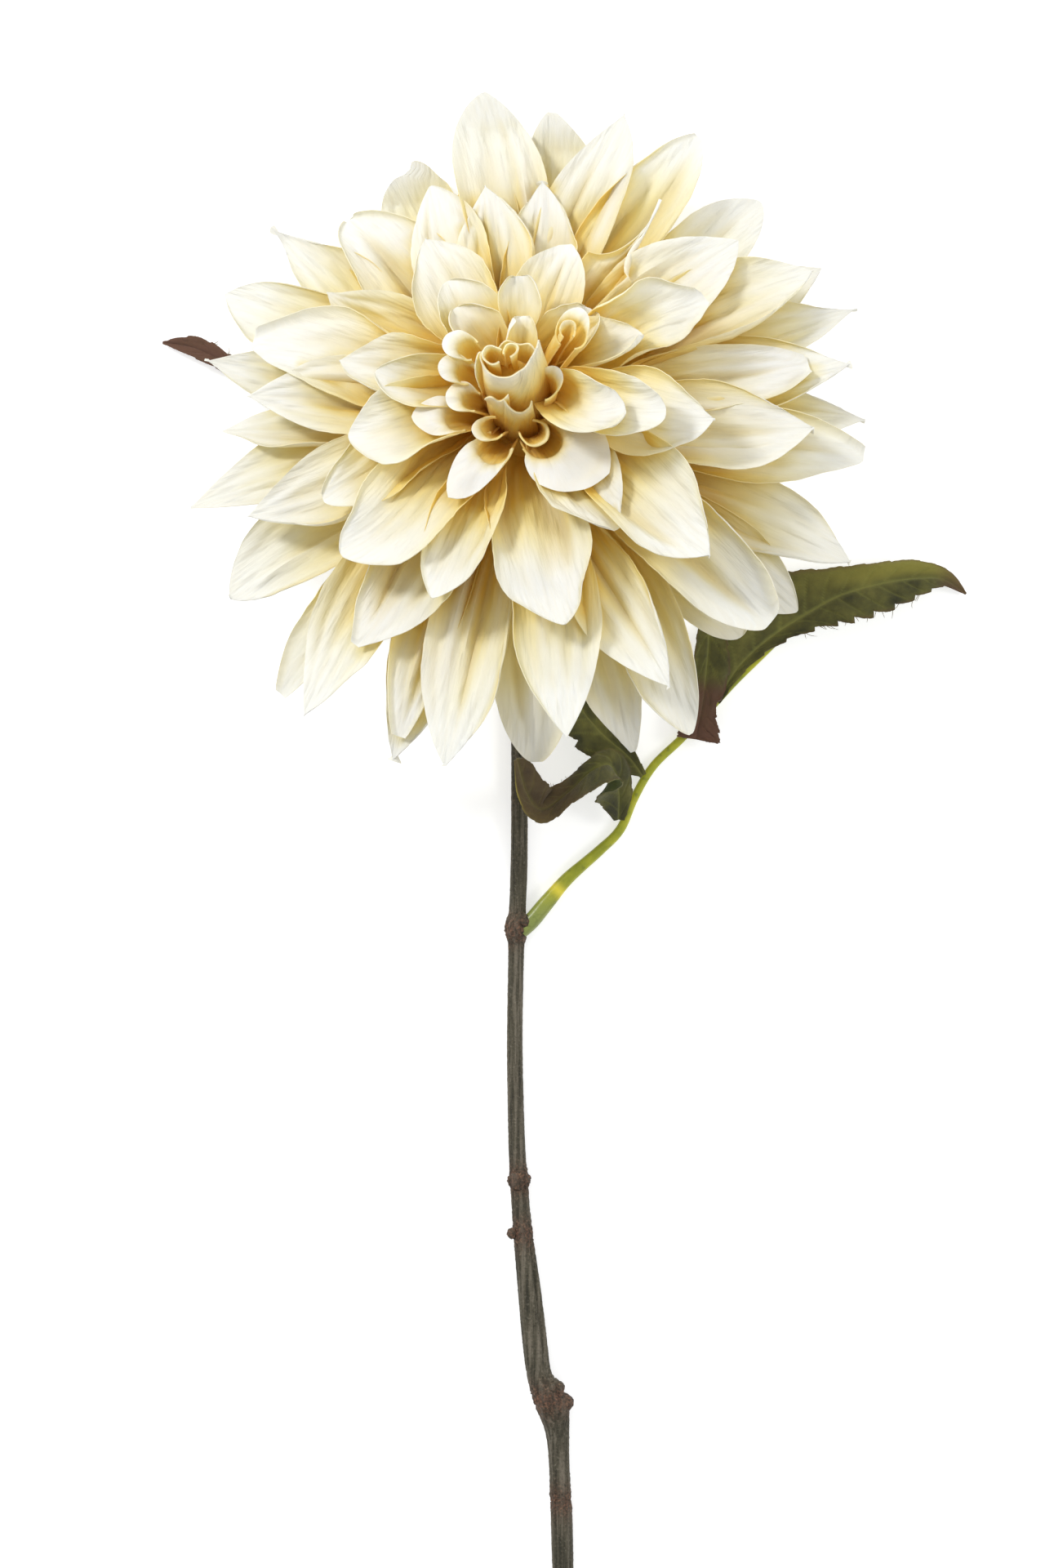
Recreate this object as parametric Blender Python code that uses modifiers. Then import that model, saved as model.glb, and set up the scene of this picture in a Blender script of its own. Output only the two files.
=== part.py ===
"""A cut dahlia lying on a flat surface: one large cream bloom on a woody stem with two toothed leaves.

The stem lies along -Y and turns up behind the bloom. The bloom faces up and leans toward +Y.
Its lowest petals, the stem and the leaves touch the surface, which is z = 0.
"""

import math

import bmesh
import bpy
from mathutils import Matrix, Vector

MM = 0.001

# Driving dimensions, in millimetres and degrees.
FOOT = Vector((-10.7, 152.6, 38.0))  # the middle of the bloom's base, where its petals start
BELOW = Vector((FOOT.x, FOOT.y, 0.0))  # the point on the surface below it
LEAN_BACK = 20.0  # from straight up toward +Y
LEAN_SIDE = 5.0  # from straight up toward -X
PETAL_THICKNESS = 0.8
PETAL_STACKING = 0.95  # from one pressed petal to the one that lies on it
ROWS_CROWDING = 0.75  # a petal's grid rows lie closer together toward its tip
FLATTENED = 0.2  # depth of the flat spots on which the bloom and the stem rest
LEAF_THICKNESS = 0.8
TIGHTEST_ROLL = 2.2  # radius of the tightest rolled petal
WIDEST_ROLL = 2.6  # half of the widest angle that a petal is rolled through, in radians
ROLL_AT_ROOT = 2.0  # share of a petal's roll at its root
ROLL_AT_TIP = 0.7  # share of it at its tip
PETAL_WIDEST = 0.58  # share of a petal's length at which it is widest
PETAL_ROOT = 0.16  # share of its width at its root
PETAL_TIP = 0.08  # share of its width at its tip
MIDRIB_HANDLE = 0.36  # share of a midrib's span that its curve keeps its first and last direction
LIFT_AT_ROOT = 0.6  # share of a petal's lift that its root has
TOOTH_DEPTH = 0.24  # share of a leaf blade's half width
GAP = 0.3  # between pieces that touch
STEM_RADIUS = 2.4
STEM_END_RADIUS = 3.0
STEM_LENGTH_BELOW_FOOT = 403.0
CALYX_LENGTH = 18.0
CALYX_TOP = -3.3  # height on the bloom's axis
CALYX_SIDES = 12
BRACTS = 10
BRACT_ROOT = 6.5  # distance from the axis
BRACT_LENGTH = 21.0
BRACT_HALF_WIDTH = 5.7

# The bloom's core, which the petals grow from: radius and height on the axis.
CORE_PROFILE = (
    (0.01, -3.0),
    (15.5, -3.0),
    (17.6, -0.5),
    (17.4, 5.0),
    (16.2, 10.5),
    (13.6, 16.5),
    (11.0, 21.5),
    (8.2, 27.0),
    (6.8, 34.0),
    (5.8, 44.0),
    (3.6, 50.0),
    (0.01, 52.0),
)
CORE_SIDES = 16
SLEEVE_CUT = 3.0  # depth of the curve in the top edges of the bud's rolled petals

AXIS = Vector(
    (-math.sin(math.radians(LEAN_SIDE)), math.sin(math.radians(LEAN_BACK)), 1.0)
)
AXIS.z = math.sqrt(1.0 - AXIS.x**2 - AXIS.y**2)

# Petals by layer, from the back of the bloom to its heart. A layer has: the radius and height at
# which its petals leave the core, the height of their tips on the axis, the angle at which they
# leave and the angle of their tips, both measured up from square to the axis, and grid counts.
# A petal has: the direction of its tip seen from above, its reach from the foot, its width, how
# far its tip lies above its layer, half the angle that it is rolled through, its twist, and how
# far round from the tip its root sits.
LAYERS = {
    "back": (15.0, 1.0, -10.0, 10.0, -20.0, 2, 5),
    "outer": (15.0, 5.0, -2.0, 18.0, -14.0, 2, 5),
    "middle": (13.5, 10.0, 8.0, 26.0, -8.0, 2, 5),
    "inner": (11.0, 16.0, 24.0, 42.0, 0.0, 2, 5),
    "crown": (8.5, 21.0, 38.0, 58.0, 8.0, 2, 4),
    "crest": (6.0, 25.0, 49.0, 72.0, 20.0, 2, 3),
}
PETALS = {
    "back": (
        (96.5, 99, 28, 2, 24, 0, 0),
        (85.5, 96, 25, -2, 22, 4, 0),
        (115, 87, 24, -2, 26, 0, 0),
        (128, 82, 22, 0, 24, 0, 0),
        (140, 95, 22, -2, 24, -6, 0),
        (154, 96, 27, 2, 24, 0, 0),
        (166, 94, 21, -2, 30, -12, 0),
        (178, 87, 21, 2, 34, 42, 0),
        (192, 97, 24, -2, 18, 44, -4),
        (209, 95, 29, 2, 22, 0, 0),
        (226, 101, 22, -2, 26, 10, 0),
        (248, 99, 26, 1, 24, 6, 0),
        (271, 92, 25, -3, 18, 0, 0),
        (288, 94, 22, -1, 22, 0, 0),
        (299, 96, 24, 3, 26, 0, 0),
        (317, 83, 23, -2, 20, 0, 0),
        (327, 91, 24, 2, 24, 0, 0),
        (344, 79, 18, -2, 26, 0, 0),
        (338.5, 98, 26, 2, 22, 0, 0),
        (3, 96, 24, -2, 24, 0, 0),
        (21.5, 101, 23, 2, 24, 0, 0),
        (30, 97, 22, -3, 24, 0, 0),
        (46, 98, 23, -1, 22, 0, 0),
    ),
    "outer": (
        (73, 97, 24, 2, 24, 0, 0),
        (60.5, 101, 26, -1, 30, 0, 0),
        (30, 94, 30, 3, 38, 0, 0),
        (12, 94, 26, 0, 26, 0, 0),
        (357, 96, 27, 0, 28, -8, 0),
        (256.5, 96, 26, 1, 24, 0, 0),
        (232, 101, 26, 1, 30, 0, 0),
        (128.5, 82, 29, 0, 22, 0, 0),
        (98.5, 85, 20, -1, 24, 0, 0),
        (92, 82, 19, -3, 22, 0, 0),
        (247, 92, 20, 1, 28, 0, 0),
    ),
    "middle": (
        (160, 84, 28, 0, 24, 0, 0),
        (171.5, 80, 24, 0, 28, -18, 0),
        (111, 78, 25, -3, 22, 0, 0),
        (196, 82, 26, 0, 26, 0, -6),
        (322.5, 86, 29, 1, 28, 0, 0),
        (299.5, 82, 25, 0, 28, 0, 0),
        (277.5, 86, 27, 0, 26, 0, 0),
        (43, 82, 27, 1, 26, 0, 0),
        (1, 81, 32, 1, 30, 0, 0),
        (15.5, 83, 24, -2, 28, 14, 0),
        (231, 76, 30, 4, 22, 0, 0),
        (67, 75, 24, 4, 44, 12, 0),
        (99, 73, 27, 1, 32, -8, 0),
        (86.5, 73, 23, 0, 24, 0, 0),
        (144, 71, 24, 2, 34, -22, 0),
    ),
    "inner": (
        (197, 60, 24, 0, 28, 0, 0),
        (213, 62, 31, 2, 30, 0, 0),
        (326, 62, 30, 3, 30, 0, 0),
        (38, 64, 26, 4, 40, 14, 0),
        (281, 54.5, 30, 0, 24, 0, 0),
        (117, 63, 26, -2, 30, 0, 0),
        (78, 57, 22, 0, 36, 0, 0),
        (4, 53, 28, 6, 30, 0, 0),
        (158, 57, 23, 0, 34, 0, 0),
        (240, 53, 24, 2, 34, 0, 0),
    ),
    "crown": (
        (117, 49, 21, -2, 40, 0, 0),
        (93, 45, 17, 0, 62, 0, 0),
        (63, 40, 24, 3, 110, 0, 0),
        (157, 46, 22, -2, 46, 0, 0),
        (180, 50, 28, -4, 40, 0, 0),
        (119, 41, 19, 0, 62, 0, 0),
        (43, 43, 20, -2, 60, 0, 0),
        (11, 39, 22, 6, 54, 0, 0),
    ),
    "crest": (
        (348, 26, 26, 4, 56, 0, 0),
        (309, 33, 27, -1, 40, 0, 0),
        (212, 30, 24, -1, 56, 0, 0),
        (169, 31, 17, -3, 76, 0, 0),
        (138, 32, 15, -1, 66, 0, 0),
        (130, 35, 15, -4, 60, 0, 0),
        (85, 32, 16, -4, 60, 0, 0),
        (18, 27, 20, 3, 60, 0, 0),
        (157, 23, 14, 0, 76, 0, 0),
    ),
}
# Rolled petals of the bud in the middle: direction, distance of the roll's middle from the axis,
# roll radius, height of its root on the axis, share of its size there, height of its top, half of
# the angle that it wraps round.
BUD_SLEEVES = (
    (280, 1.0, 7.4, 34.0, 0.85, 59.0, 152),
    (165, 3.2, 2.8, 46.0, 0.9, 62.0, 145),
    (20, 2.4, 3.2, 46.0, 0.9, 63.0, 145),
    (100, 1.8, 7.8, 26.0, 0.5, 57.0, 50),
    (240, 2.5, 7.6, 26.0, 0.5, 53.0, 44),
    (288, 4.2, 7.8, 26.0, 0.5, 50.0, 46),
    (345, 2.6, 8.0, 26.0, 0.5, 50.0, 54),
    (40, 4.4, 8.5, 26.0, 0.5, 53.0, 46),
    (161, 3.6, 8.0, 26.0, 0.5, 52.0, 44),
    (291, 6.0, 9.5, 24.0, 0.5, 42.0, 44),
    (248, 8.5, 9.5, 24.0, 0.45, 40.0, 46),
)

# The stem's centre line below the neck: distance before the foot, distance to +X, radius.
STEM_COURSE = (
    (34.0, -1.5, 2.4),
    (60.0, -2.0, 2.4),
    (92.0, -2.0, 2.4),
    (120.0, -2.1, 2.4),
    (134.0, -2.6, 2.4),
    (137.0, -2.8, 2.9),
    (139.8, -2.9, 3.3),
    (142.6, -2.9, 2.7),
    (146.0, -3.0, 2.3),
    (173.5, -3.4, 2.3),
    (200.0, -2.8, 2.4),
    (209.5, -2.3, 2.6),
    (211.8, -2.1, 3.4),
    (214.0, -2.0, 2.6),
    (228.0, -1.0, 2.7),
    (245.0, 0.8, 3.1),
    (262.0, 3.0, 3.3),
    (269.0, 4.4, 3.4),
    (274.5, 7.2, 3.9),
    (280.0, 9.3, 3.1),
    (292.0, 9.6, 2.9),
    (302.5, 9.8, 2.9),
    (304.0, 9.9, 2.6),
    (305.5, 10.0, 3.0),
    (322.0, 10.4, 3.0),
    (324.0, 10.4, 2.7),
    (326.0, 10.4, 3.0),
    (350.0, 11.4, 3.0),
    (376.0, 12.0, 3.1),
    (378.5, 12.1, 3.4),
    (381.0, 12.1, 3.0),
    (STEM_LENGTH_BELOW_FOOT, 12.4, STEM_END_RADIUS),
)
# Buds and stubs on the stem: distance before the foot, distance to +X, height, radius.
STEM_KNOBS = (
    (140.8, 0.0, 3.4, 1.8),
    (227.0, -4.0, 3.2, 1.7),
    (273.5, 11.5, 4.2, 2.6),
)

# Leaves: stalk points as (x, y, z) from the point on the surface below the foot, and blades.
RIGHT_STALK = (
    (1.7, -137.4, 3.6),
    (6.0, -130.0, 3.2),
    (13.5, -122.5, 2.6),
    (21.5, -114.5, 2.2),
    (27.0, -108.5, 2.0),
    (31.0, -99.0, 1.9),
    (37.0, -91.0, 1.8),
    (45.0, -85.0, 1.7),
    (53.0, -77.0, 1.6),
    (60.5, -68.5, 1.5),
    (72.0, -57.5, 1.4),
)
LEFT_STALK = (
    (-6.2, -70.0, 2.6),
    (-10.0, -65.0, 2.6),
    (-20.0, -55.0, 2.2),
    (-33.0, -42.0, 2.0),
    (-46.0, -29.0, 1.9),
    (-56.0, -14.0, 1.8),
    (-66.0, -3.0, 1.6),
)
STALK_RADII = (1.9, 1.3)  # at the stem and at the far end
# Each blade: midrib points, roll of the blade at each point, half width, teeth, fold at the rib,
# and the width of its right half as a share of the left.
BLADES = {
    "leaf_right_blade": (
        (
            (54.5, -75.5, 3.9),
            (64.0, -64.8, 4.0),
            (83.0, -50.5, 8.0),
            (104.0, -45.5, 8.0),
            (125.5, -43.0, 1.6),
        ),
        (0, 0, -6, -12, -4),
        15.0,
        9,
        0.16,
        0.36,
    ),
    "leaf_right_lobe": (
        ((54.5, -53.0, 8.4), (53.0, -66.0, 7.0), (49.5, -77.0, 5.6), (43.5, -86.0, 4.4)),
        (0, 0, 0, 0),
        8.2,
        5,
        0.1,
        1.0,
    ),
    "leaflet_front": (
        (
            (26.4, -108.4, 4.5),
            (26.5, -100.0, 8.0),
            (24.0, -93.0, 13.5),
            (18.5, -94.5, 16.0),
            (12.0, -100.5, 14.0),
            (4.5, -105.5, 13.0),
            (0.0, -100.5, 16.0),
            (-2.6, -91.0, 21.0),
        ),
        (10, 26, 76, 80, 44, 14, 10, 10),
        7.2,
        7,
        0.2,
        1.0,
    ),
    "leaflet_back": (
        ((33.4, -95.8, 4.15), (27.5, -88.0, 5.5), (19.5, -82.0, 7.5), (12.0, -73.0, 9.0)),
        (0, -8, 6, 10),
        7.5,
        7,
        0.18,
        1.0,
    ),
    "leaf_left_blade": (
        (
            (-58.0, -13.4, 3.9),
            (-66.0, -2.0, 3.9),
            (-77.0, 15.0, 5.6),
            (-89.0, 25.0, 3.4),
            (-104.5, 28.5, 1.6),
        ),
        (0, 6, 10, 10, 4),
        11.0,
        9,
        0.16,
        1.0,
    ),
    "leaflet_left_outer": (
        ((-34.0, -41.2, 4.4), (-42.0, -44.5, 6.6), (-51.0, -45.0, 6.4), (-60.0, -40.0, 1.6)),
        (-4, 0, 4, 4),
        7.5,
        7,
        0.16,
        1.0,
    ),
    "leaflet_left_inner": (
        ((-38.6, -36.6, 4.3), (-34.5, -28.0, 6.6), (-34.0, -17.0, 6.4), (-38.0, -6.0, 1.6)),
        (4, 2, -2, -2),
        7.0,
        7,
        0.16,
        1.0,
    ),
}

COLOURS = {
    "petal": ((0.90, 0.84, 0.66, 1.0), 0.75),
    "calyx": ((0.20, 0.27, 0.07, 1.0), 0.6),
    "stem": ((0.10, 0.09, 0.06, 1.0), 0.65),
    "stalk": ((0.33, 0.36, 0.04, 1.0), 0.4),
    "leaf": ((0.07, 0.09, 0.02, 1.0), 0.75),
}


def clear_scene():
    for thing in list(bpy.data.objects):
        bpy.data.objects.remove(thing, do_unlink=True)


def new_collection(name):
    made = bpy.data.collections.new(name)
    bpy.context.scene.collection.children.link(made)
    return made


def material(name):
    colour, roughness = COLOURS[name]
    made = bpy.data.materials.new(name)
    made.use_nodes = True
    shader = made.node_tree.nodes["Principled BSDF"]
    shader.inputs["Base Color"].default_value = colour
    shader.inputs["Roughness"].default_value = roughness
    shader.inputs["Metallic"].default_value = 0.0
    return made


def add_object(name, mesh_data, home):
    made = bpy.data.objects.new(name, mesh_data)
    home.objects.link(made)
    return made


def object_from_bmesh(name, mesh, home):
    data = bpy.data.meshes.new(name)
    mesh.to_mesh(data)
    mesh.free()
    return add_object(name, data, home)


def baked(thing):
    """Replaces the object's mesh by its evaluated mesh, without modifiers."""
    bpy.context.view_layer.update()
    graph = bpy.context.evaluated_depsgraph_get()
    data = bpy.data.meshes.new_from_object(thing.evaluated_get(graph))
    thing.modifiers.clear()
    thing.data = data


def fused(core, pieces, solver="MANIFOLD"):
    """Joins every object of a collection to the core with one Boolean union."""
    union = core.modifiers.new("union", "BOOLEAN")
    union.operation = "UNION"
    union.operand_type = "COLLECTION"
    union.collection = pieces
    union.solver = solver
    baked(core)
    core.data.materials.clear()
    keep_outer_skin(core)
    for piece in list(pieces.objects):
        bpy.data.objects.remove(piece, do_unlink=True)
    bpy.data.collections.remove(pieces)


def keep_outer_skin(thing):
    """Leaves only the largest connected skin, which fills sealed hollows and drops loose scraps."""
    mesh = bmesh.new()
    mesh.from_mesh(thing.data)
    skins = []
    seen = set()
    for first in mesh.faces:
        if first in seen:
            continue
        seen.add(first)
        skin = [first]
        for face in skin:
            for edge in face.edges:
                fresh = [other for other in edge.link_faces if other not in seen]
                seen.update(fresh)
                skin.extend(fresh)
        skins.append(skin)
    skins.sort(key=len)
    spare = [face for skin in skins[:-1] for face in skin]
    bmesh.ops.delete(mesh, geom=spare, context="FACES")
    mesh.to_mesh(thing.data)
    mesh.free()


def flattened(thing, home):
    """Cuts away what reaches below the surface, which leaves flat spots to rest on."""
    mesh = bmesh.new()
    bmesh.ops.create_cube(mesh, size=1.0)
    bmesh.ops.translate(mesh, vec=(0.0, 0.0, -0.5), verts=mesh.verts)
    below = object_from_bmesh("below_surface", mesh, home)
    cut = thing.modifiers.new("flat_spots", "BOOLEAN")
    cut.operation = "DIFFERENCE"
    cut.object = below
    cut.solver = "MANIFOLD"
    baked(thing)
    thing.data.materials.clear()
    bpy.data.objects.remove(below, do_unlink=True)


def smooth_point(points, share):
    """A point on the smooth curve through the points, from share 0 at the first to 1 at the last."""
    spans = len(points) - 1
    at = min(share * spans, spans - 1e-6)
    i = int(at)
    t = at - i
    before = points[max(i - 1, 0)]
    start = points[i]
    end = points[i + 1]
    after = points[min(i + 2, spans)]
    return (
        start * (2 * t**3 - 3 * t**2 + 1)
        + (end - before) * 0.5 * (t**3 - 2 * t**2 + t)
        + end * (3 * t**2 - 2 * t**3)
        + (after - start) * 0.5 * (t**3 - t**2)
    )


def sheet(name, columns, rows, place, thickness, home, crowding=1.0):
    """A thin closed blade: a grid moved to place(u along, v across) and given its thickness.

    A crowding under 1 sets the rows closer together toward the tip.
    """
    mesh = bmesh.new()
    bmesh.ops.create_grid(mesh, x_segments=columns, y_segments=rows, size=1.0)
    for vert in mesh.verts:
        vert.co = place(((vert.co.y + 1.0) / 2.0) ** crowding, vert.co.x) * MM
    bmesh.ops.triangulate(mesh, faces=mesh.faces[:])
    made = object_from_bmesh(name, mesh, home)
    solid = made.modifiers.new("thickness", "SOLIDIFY")
    solid.thickness = thickness * MM
    solid.offset = 0.0
    baked(made)
    return made


def outward(azimuth):
    """Square to the bloom's axis, and pointing to the azimuth when seen from above."""
    angle = math.radians(azimuth)
    flat = Vector((math.cos(angle), math.sin(angle), 0.0))
    flat.z = -(flat.x * AXIS.x + flat.y * AXIS.y) / AXIS.z
    return flat.normalized()


def petal_course(layer, petal):
    """The four control points of a petal's midrib."""
    root_radius, root_height, tip_height, leave, arrive = layer[:5]
    azimuth, reach, _, lift, _, _, sweep = petal
    root_way = outward(azimuth + sweep)
    tip_way = outward(azimuth)
    root = root_way * root_radius + AXIS * (root_height + LIFT_AT_ROOT * lift)
    angle = math.radians(azimuth)
    tip = Vector((reach * math.cos(angle), reach * math.sin(angle), 0.0))
    tip.z = (tip_height + lift - AXIS.x * tip.x - AXIS.y * tip.y) / AXIS.z
    span = (tip - root).length
    leave = math.radians(leave)
    arrive = math.radians(arrive)
    first = root + (root_way * math.cos(leave) + AXIS * math.sin(leave)) * span * MIDRIB_HANDLE
    second = tip - (tip_way * math.cos(arrive) + AXIS * math.sin(arrive)) * span * MIDRIB_HANDLE
    return root, first, second, tip


def on_bezier(points, t):
    a, b, c, d = points
    s = 1.0 - t
    return a * s**3 + b * 3 * s * s * t + c * 3 * s * t * t + d * t**3


def along_bezier(points, t):
    a, b, c, d = points
    s = 1.0 - t
    return ((b - a) * s * s + (c - b) * 2 * s * t + (d - c) * t * t).normalized()


def petal_outline(u):
    """Half width along a petal as a share of the widest: a narrow root, full past the middle."""
    if u < PETAL_WIDEST:
        rise = math.sin(u / PETAL_WIDEST * math.pi / 2)
        return PETAL_ROOT + (1.0 - PETAL_ROOT) * rise**1.1
    fall = (u - PETAL_WIDEST) / (1.0 - PETAL_WIDEST)
    return max((1.0 - fall**2.5) ** 0.75, PETAL_TIP)


def on_petal(layer, petal, floor, u, v):
    """The point u along and v across a petal's middle surface, from the point below the foot."""
    _, _, width, _, roll, twist, _ = petal
    course = petal_course(layer, petal)
    middle = on_bezier(course, u)
    ahead = along_bezier(course, u)
    side = ahead.cross(AXIS).normalized()
    side.rotate(Matrix.Rotation(math.radians(twist) * u**1.5, 3, ahead))
    inner = side.cross(ahead).normalized()
    half = width / 2.0 * petal_outline(u)
    share = ROLL_AT_ROOT + (ROLL_AT_TIP - ROLL_AT_ROOT) * u
    half_angle = min(math.radians(roll) * share, half / TIGHTEST_ROLL, WIDEST_ROLL)
    radius = half / half_angle
    across = side * radius * math.sin(half_angle * v)
    rise = inner * radius * (1.0 - math.cos(half_angle * v))
    point = middle + across + rise
    point.z = max(point.z + FOOT.z, floor)
    return point


def turned(name, profile, steps, home):
    """A solid turned round the bloom's axis from a profile of (radius, height on the axis)."""
    mesh = bmesh.new()
    verts = [mesh.verts.new((radius, 0.0, height)) for radius, height in profile]
    for first, second in zip(verts, verts[1:]):
        mesh.edges.new((first, second))
    bmesh.ops.spin(
        mesh,
        geom=mesh.verts[:] + mesh.edges[:],
        axis=(0.0, 0.0, 1.0),
        cent=(0.0, 0.0, 0.0),
        angle=2 * math.pi,
        steps=steps,
    )
    bmesh.ops.remove_doubles(mesh, verts=mesh.verts, dist=0.05)
    bmesh.ops.recalc_face_normals(mesh, faces=mesh.faces)
    turn = Vector((0.0, 0.0, 1.0)).rotation_difference(AXIS).to_matrix().to_4x4()
    place = Matrix.Scale(MM, 4) @ Matrix.Translation(FOOT) @ turn
    bmesh.ops.transform(mesh, matrix=place, verts=mesh.verts)
    return object_from_bmesh(name, mesh, home)


def on_sleeve(sleeve, u, v):
    """A point on a rolled petal of the bud, whose free top edge is cut in a curve."""
    azimuth, offset, radius, root, root_share, top, wrap = sleeve
    height = root + (top - root - SLEEVE_CUT * (1.0 - v * v)) * u
    way = outward(azimuth)
    square = AXIS.cross(way)
    angle = math.radians(wrap) * v
    share = root_share + (1.0 - root_share) * u
    out = share * (offset + radius * math.cos(angle))
    return FOOT + AXIS * height + way * out + square * share * radius * math.sin(angle)


def build_bloom(home):
    core = turned("bloom", CORE_PROFILE, CORE_SIDES, home)
    pieces = new_collection("petals")
    for depth, (name, layer) in enumerate(LAYERS.items()):
        for number, petal in enumerate(PETALS[name]):
            # Petals that are pressed against the surface lie in turn on each other.
            stacked = 2 * depth + (number + 1) % 2
            floor = PETAL_THICKNESS / 2.0 - FLATTENED + stacked * PETAL_STACKING

            def place(u, v, layer=layer, petal=petal, floor=floor):
                return BELOW + on_petal(layer, petal, floor, u, v)

            sheet("petal", layer[5], layer[6], place, PETAL_THICKNESS, pieces, ROWS_CROWDING)
    for sleeve in BUD_SLEEVES:
        columns = 8 if sleeve[6] > 90 else 4

        def place(u, v, sleeve=sleeve):
            return on_sleeve(sleeve, u, v)

        sheet("sleeve", columns, 1, place, PETAL_THICKNESS, pieces)
    fused(core, pieces)
    flattened(core, home)
    core.data.materials.append(material("petal"))


def build_calyx(home):
    """The green cup behind the bloom, with pointed bracts spread under the back petals."""
    top = CALYX_TOP
    low = CALYX_TOP - CALYX_LENGTH
    profile = (
        (0.01, top),
        (9.6, top),
        (10.4, top - 2.2),
        (8.6, top - 7.0),
        (5.0, low + 4.0),
        (3.6, low),
        (0.01, low),
    )
    cup = turned("calyx", profile, CALYX_SIDES, home)
    pieces = new_collection("bracts")
    for number in range(BRACTS):
        way = outward(360.0 * number / BRACTS + 12.0)
        square = AXIS.cross(way)

        def place(u, v, way=way, square=square):
            half = BRACT_HALF_WIDTH * max((1.0 - u**2.2) ** 0.7, 0.09)
            height = top - 2.6 - 2.4 * u + 1.6 * v * v * (1.0 - u)
            out = BRACT_ROOT + BRACT_LENGTH * u
            return FOOT + AXIS * height + way * out + square * half * v

        sheet("bract", 2, 4, place, PETAL_THICKNESS, pieces)
    fused(cup, pieces)
    cup.data.materials.append(material("calyx"))


def tube(name, course, home, sides=8):
    """A round bar along (point, radius) pairs: a curve with a bevel, made into a mesh."""
    curve = bpy.data.curves.new(name, "CURVE")
    curve.dimensions = "3D"
    curve.bevel_depth = MM
    curve.bevel_resolution = (sides - 4) // 2
    curve.use_fill_caps = True
    spline = curve.splines.new("POLY")
    spline.points.add(len(course) - 1)
    for place, (point, radius) in zip(spline.points, course):
        place.co = (*(point * MM), 1.0)
        place.radius = radius
    guide = add_object(name + "_guide", curve, home)
    bpy.context.view_layer.update()
    graph = bpy.context.evaluated_depsgraph_get()
    data = bpy.data.meshes.new_from_object(guide.evaluated_get(graph))
    bpy.data.objects.remove(guide, do_unlink=True)
    mesh = bmesh.new()
    mesh.from_mesh(data)
    bmesh.ops.remove_doubles(mesh, verts=mesh.verts, dist=0.00001)
    bmesh.ops.recalc_face_normals(mesh, faces=mesh.faces)
    return object_from_bmesh(name, mesh, home)


def stem_course():
    """The neck turns from the calyx down to the surface, and the stem then lies along it."""
    start = FOOT + AXIS * (CALYX_TOP - CALYX_LENGTH - GAP)
    neck = [
        start,
        start - AXIS * 3.0,
        BELOW + Vector((0.6, -13.6, 8.6)),
        BELOW + Vector((-0.4, -22.0, 3.9)),
    ]
    course = [(point, STEM_RADIUS) for point in neck]
    for before, aside, radius in STEM_COURSE:
        course.append((BELOW + Vector((aside, -before, radius - FLATTENED)), radius))
    return course


def ball(name, centre, radius, home):
    mesh = bmesh.new()
    bmesh.ops.create_icosphere(mesh, subdivisions=1, radius=radius * MM)
    bmesh.ops.translate(mesh, vec=centre * MM, verts=mesh.verts)
    return object_from_bmesh(name, mesh, home)


def build_stem(home):
    stem = tube("stem", stem_course(), home)
    pieces = new_collection("knobs")
    for before, aside, height, radius in STEM_KNOBS:
        ball("knob", BELOW + Vector((aside, -before, height)), radius, pieces)
    fused(stem, pieces)
    flattened(stem, home)
    stem.data.materials.append(material("stem"))


def on_blade(blade, u, v):
    """The point u along and v across a leaf blade, whose edge is cut into forward teeth."""
    points, rolls, half_width, teeth, fold, right_share = blade
    course = [Vector(point) for point in points]
    middle = smooth_point(course, u)
    ahead = smooth_point(course, min(u + 0.02, 1.0)) - smooth_point(course, max(u - 0.02, 0.0))
    ahead.normalize()
    roll = smooth_point([Vector((angle, 0.0, 0.0)) for angle in rolls], u).x
    side = ahead.cross(Vector((0.0, 0.0, 1.0))).normalized()
    side.rotate(Matrix.Rotation(math.radians(roll), 3, ahead))
    upper = side.cross(ahead).normalized()
    outline = max(math.sin(math.pi * u**0.75) ** 0.8, 0.05)
    notched = 0.05 < u < 0.97 and round(u * 2 * teeth) % 2 == 1
    half = half_width * outline * (right_share if v > 0.0 else 1.0)
    if notched:
        half *= 1.0 - TOOTH_DEPTH * abs(v)
    point = BELOW + middle + side * half * v + upper * half * fold * abs(v)
    point.z = max(point.z, LEAF_THICKNESS / 2.0)
    return point


def build_leaves(home):
    for name, points in (("leaf_right_stalk", RIGHT_STALK), ("leaf_left_stalk", LEFT_STALK)):
        course = []
        for number, point in enumerate(points):
            share = number / (len(points) - 1)
            radius = STALK_RADII[0] * (1.0 - share) + STALK_RADII[1] * share
            course.append((BELOW + Vector(point), radius))
        stalk = tube(name, course, home)
        stalk.data.materials.append(material("stalk"))
    for name, blade in BLADES.items():
        made = sheet(
            name,
            4,
            2 * blade[3],
            lambda u, v, blade=blade: on_blade(blade, u, v),
            LEAF_THICKNESS,
            home,
        )
        made.data.materials.append(material("leaf"))


def main():
    clear_scene()
    home = new_collection("cut_dahlia")
    build_bloom(home)
    build_calyx(home)
    build_stem(home)
    build_leaves(home)
    for thing in home.objects:
        thing.data.shade_smooth()
        thing.data.set_sharp_from_angle(angle=math.radians(40))


main()
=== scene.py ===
"""The look of the cut dahlia: ivory fabric petals with golden hollows, olive leaves and a ridged stem.

Lengths are in millimetres until a mesh is made. The bloom faces up and leans toward +Y, and the
stem lies along -Y on the surface z = 0.
"""

import math
import random
from collections import namedtuple

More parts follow.
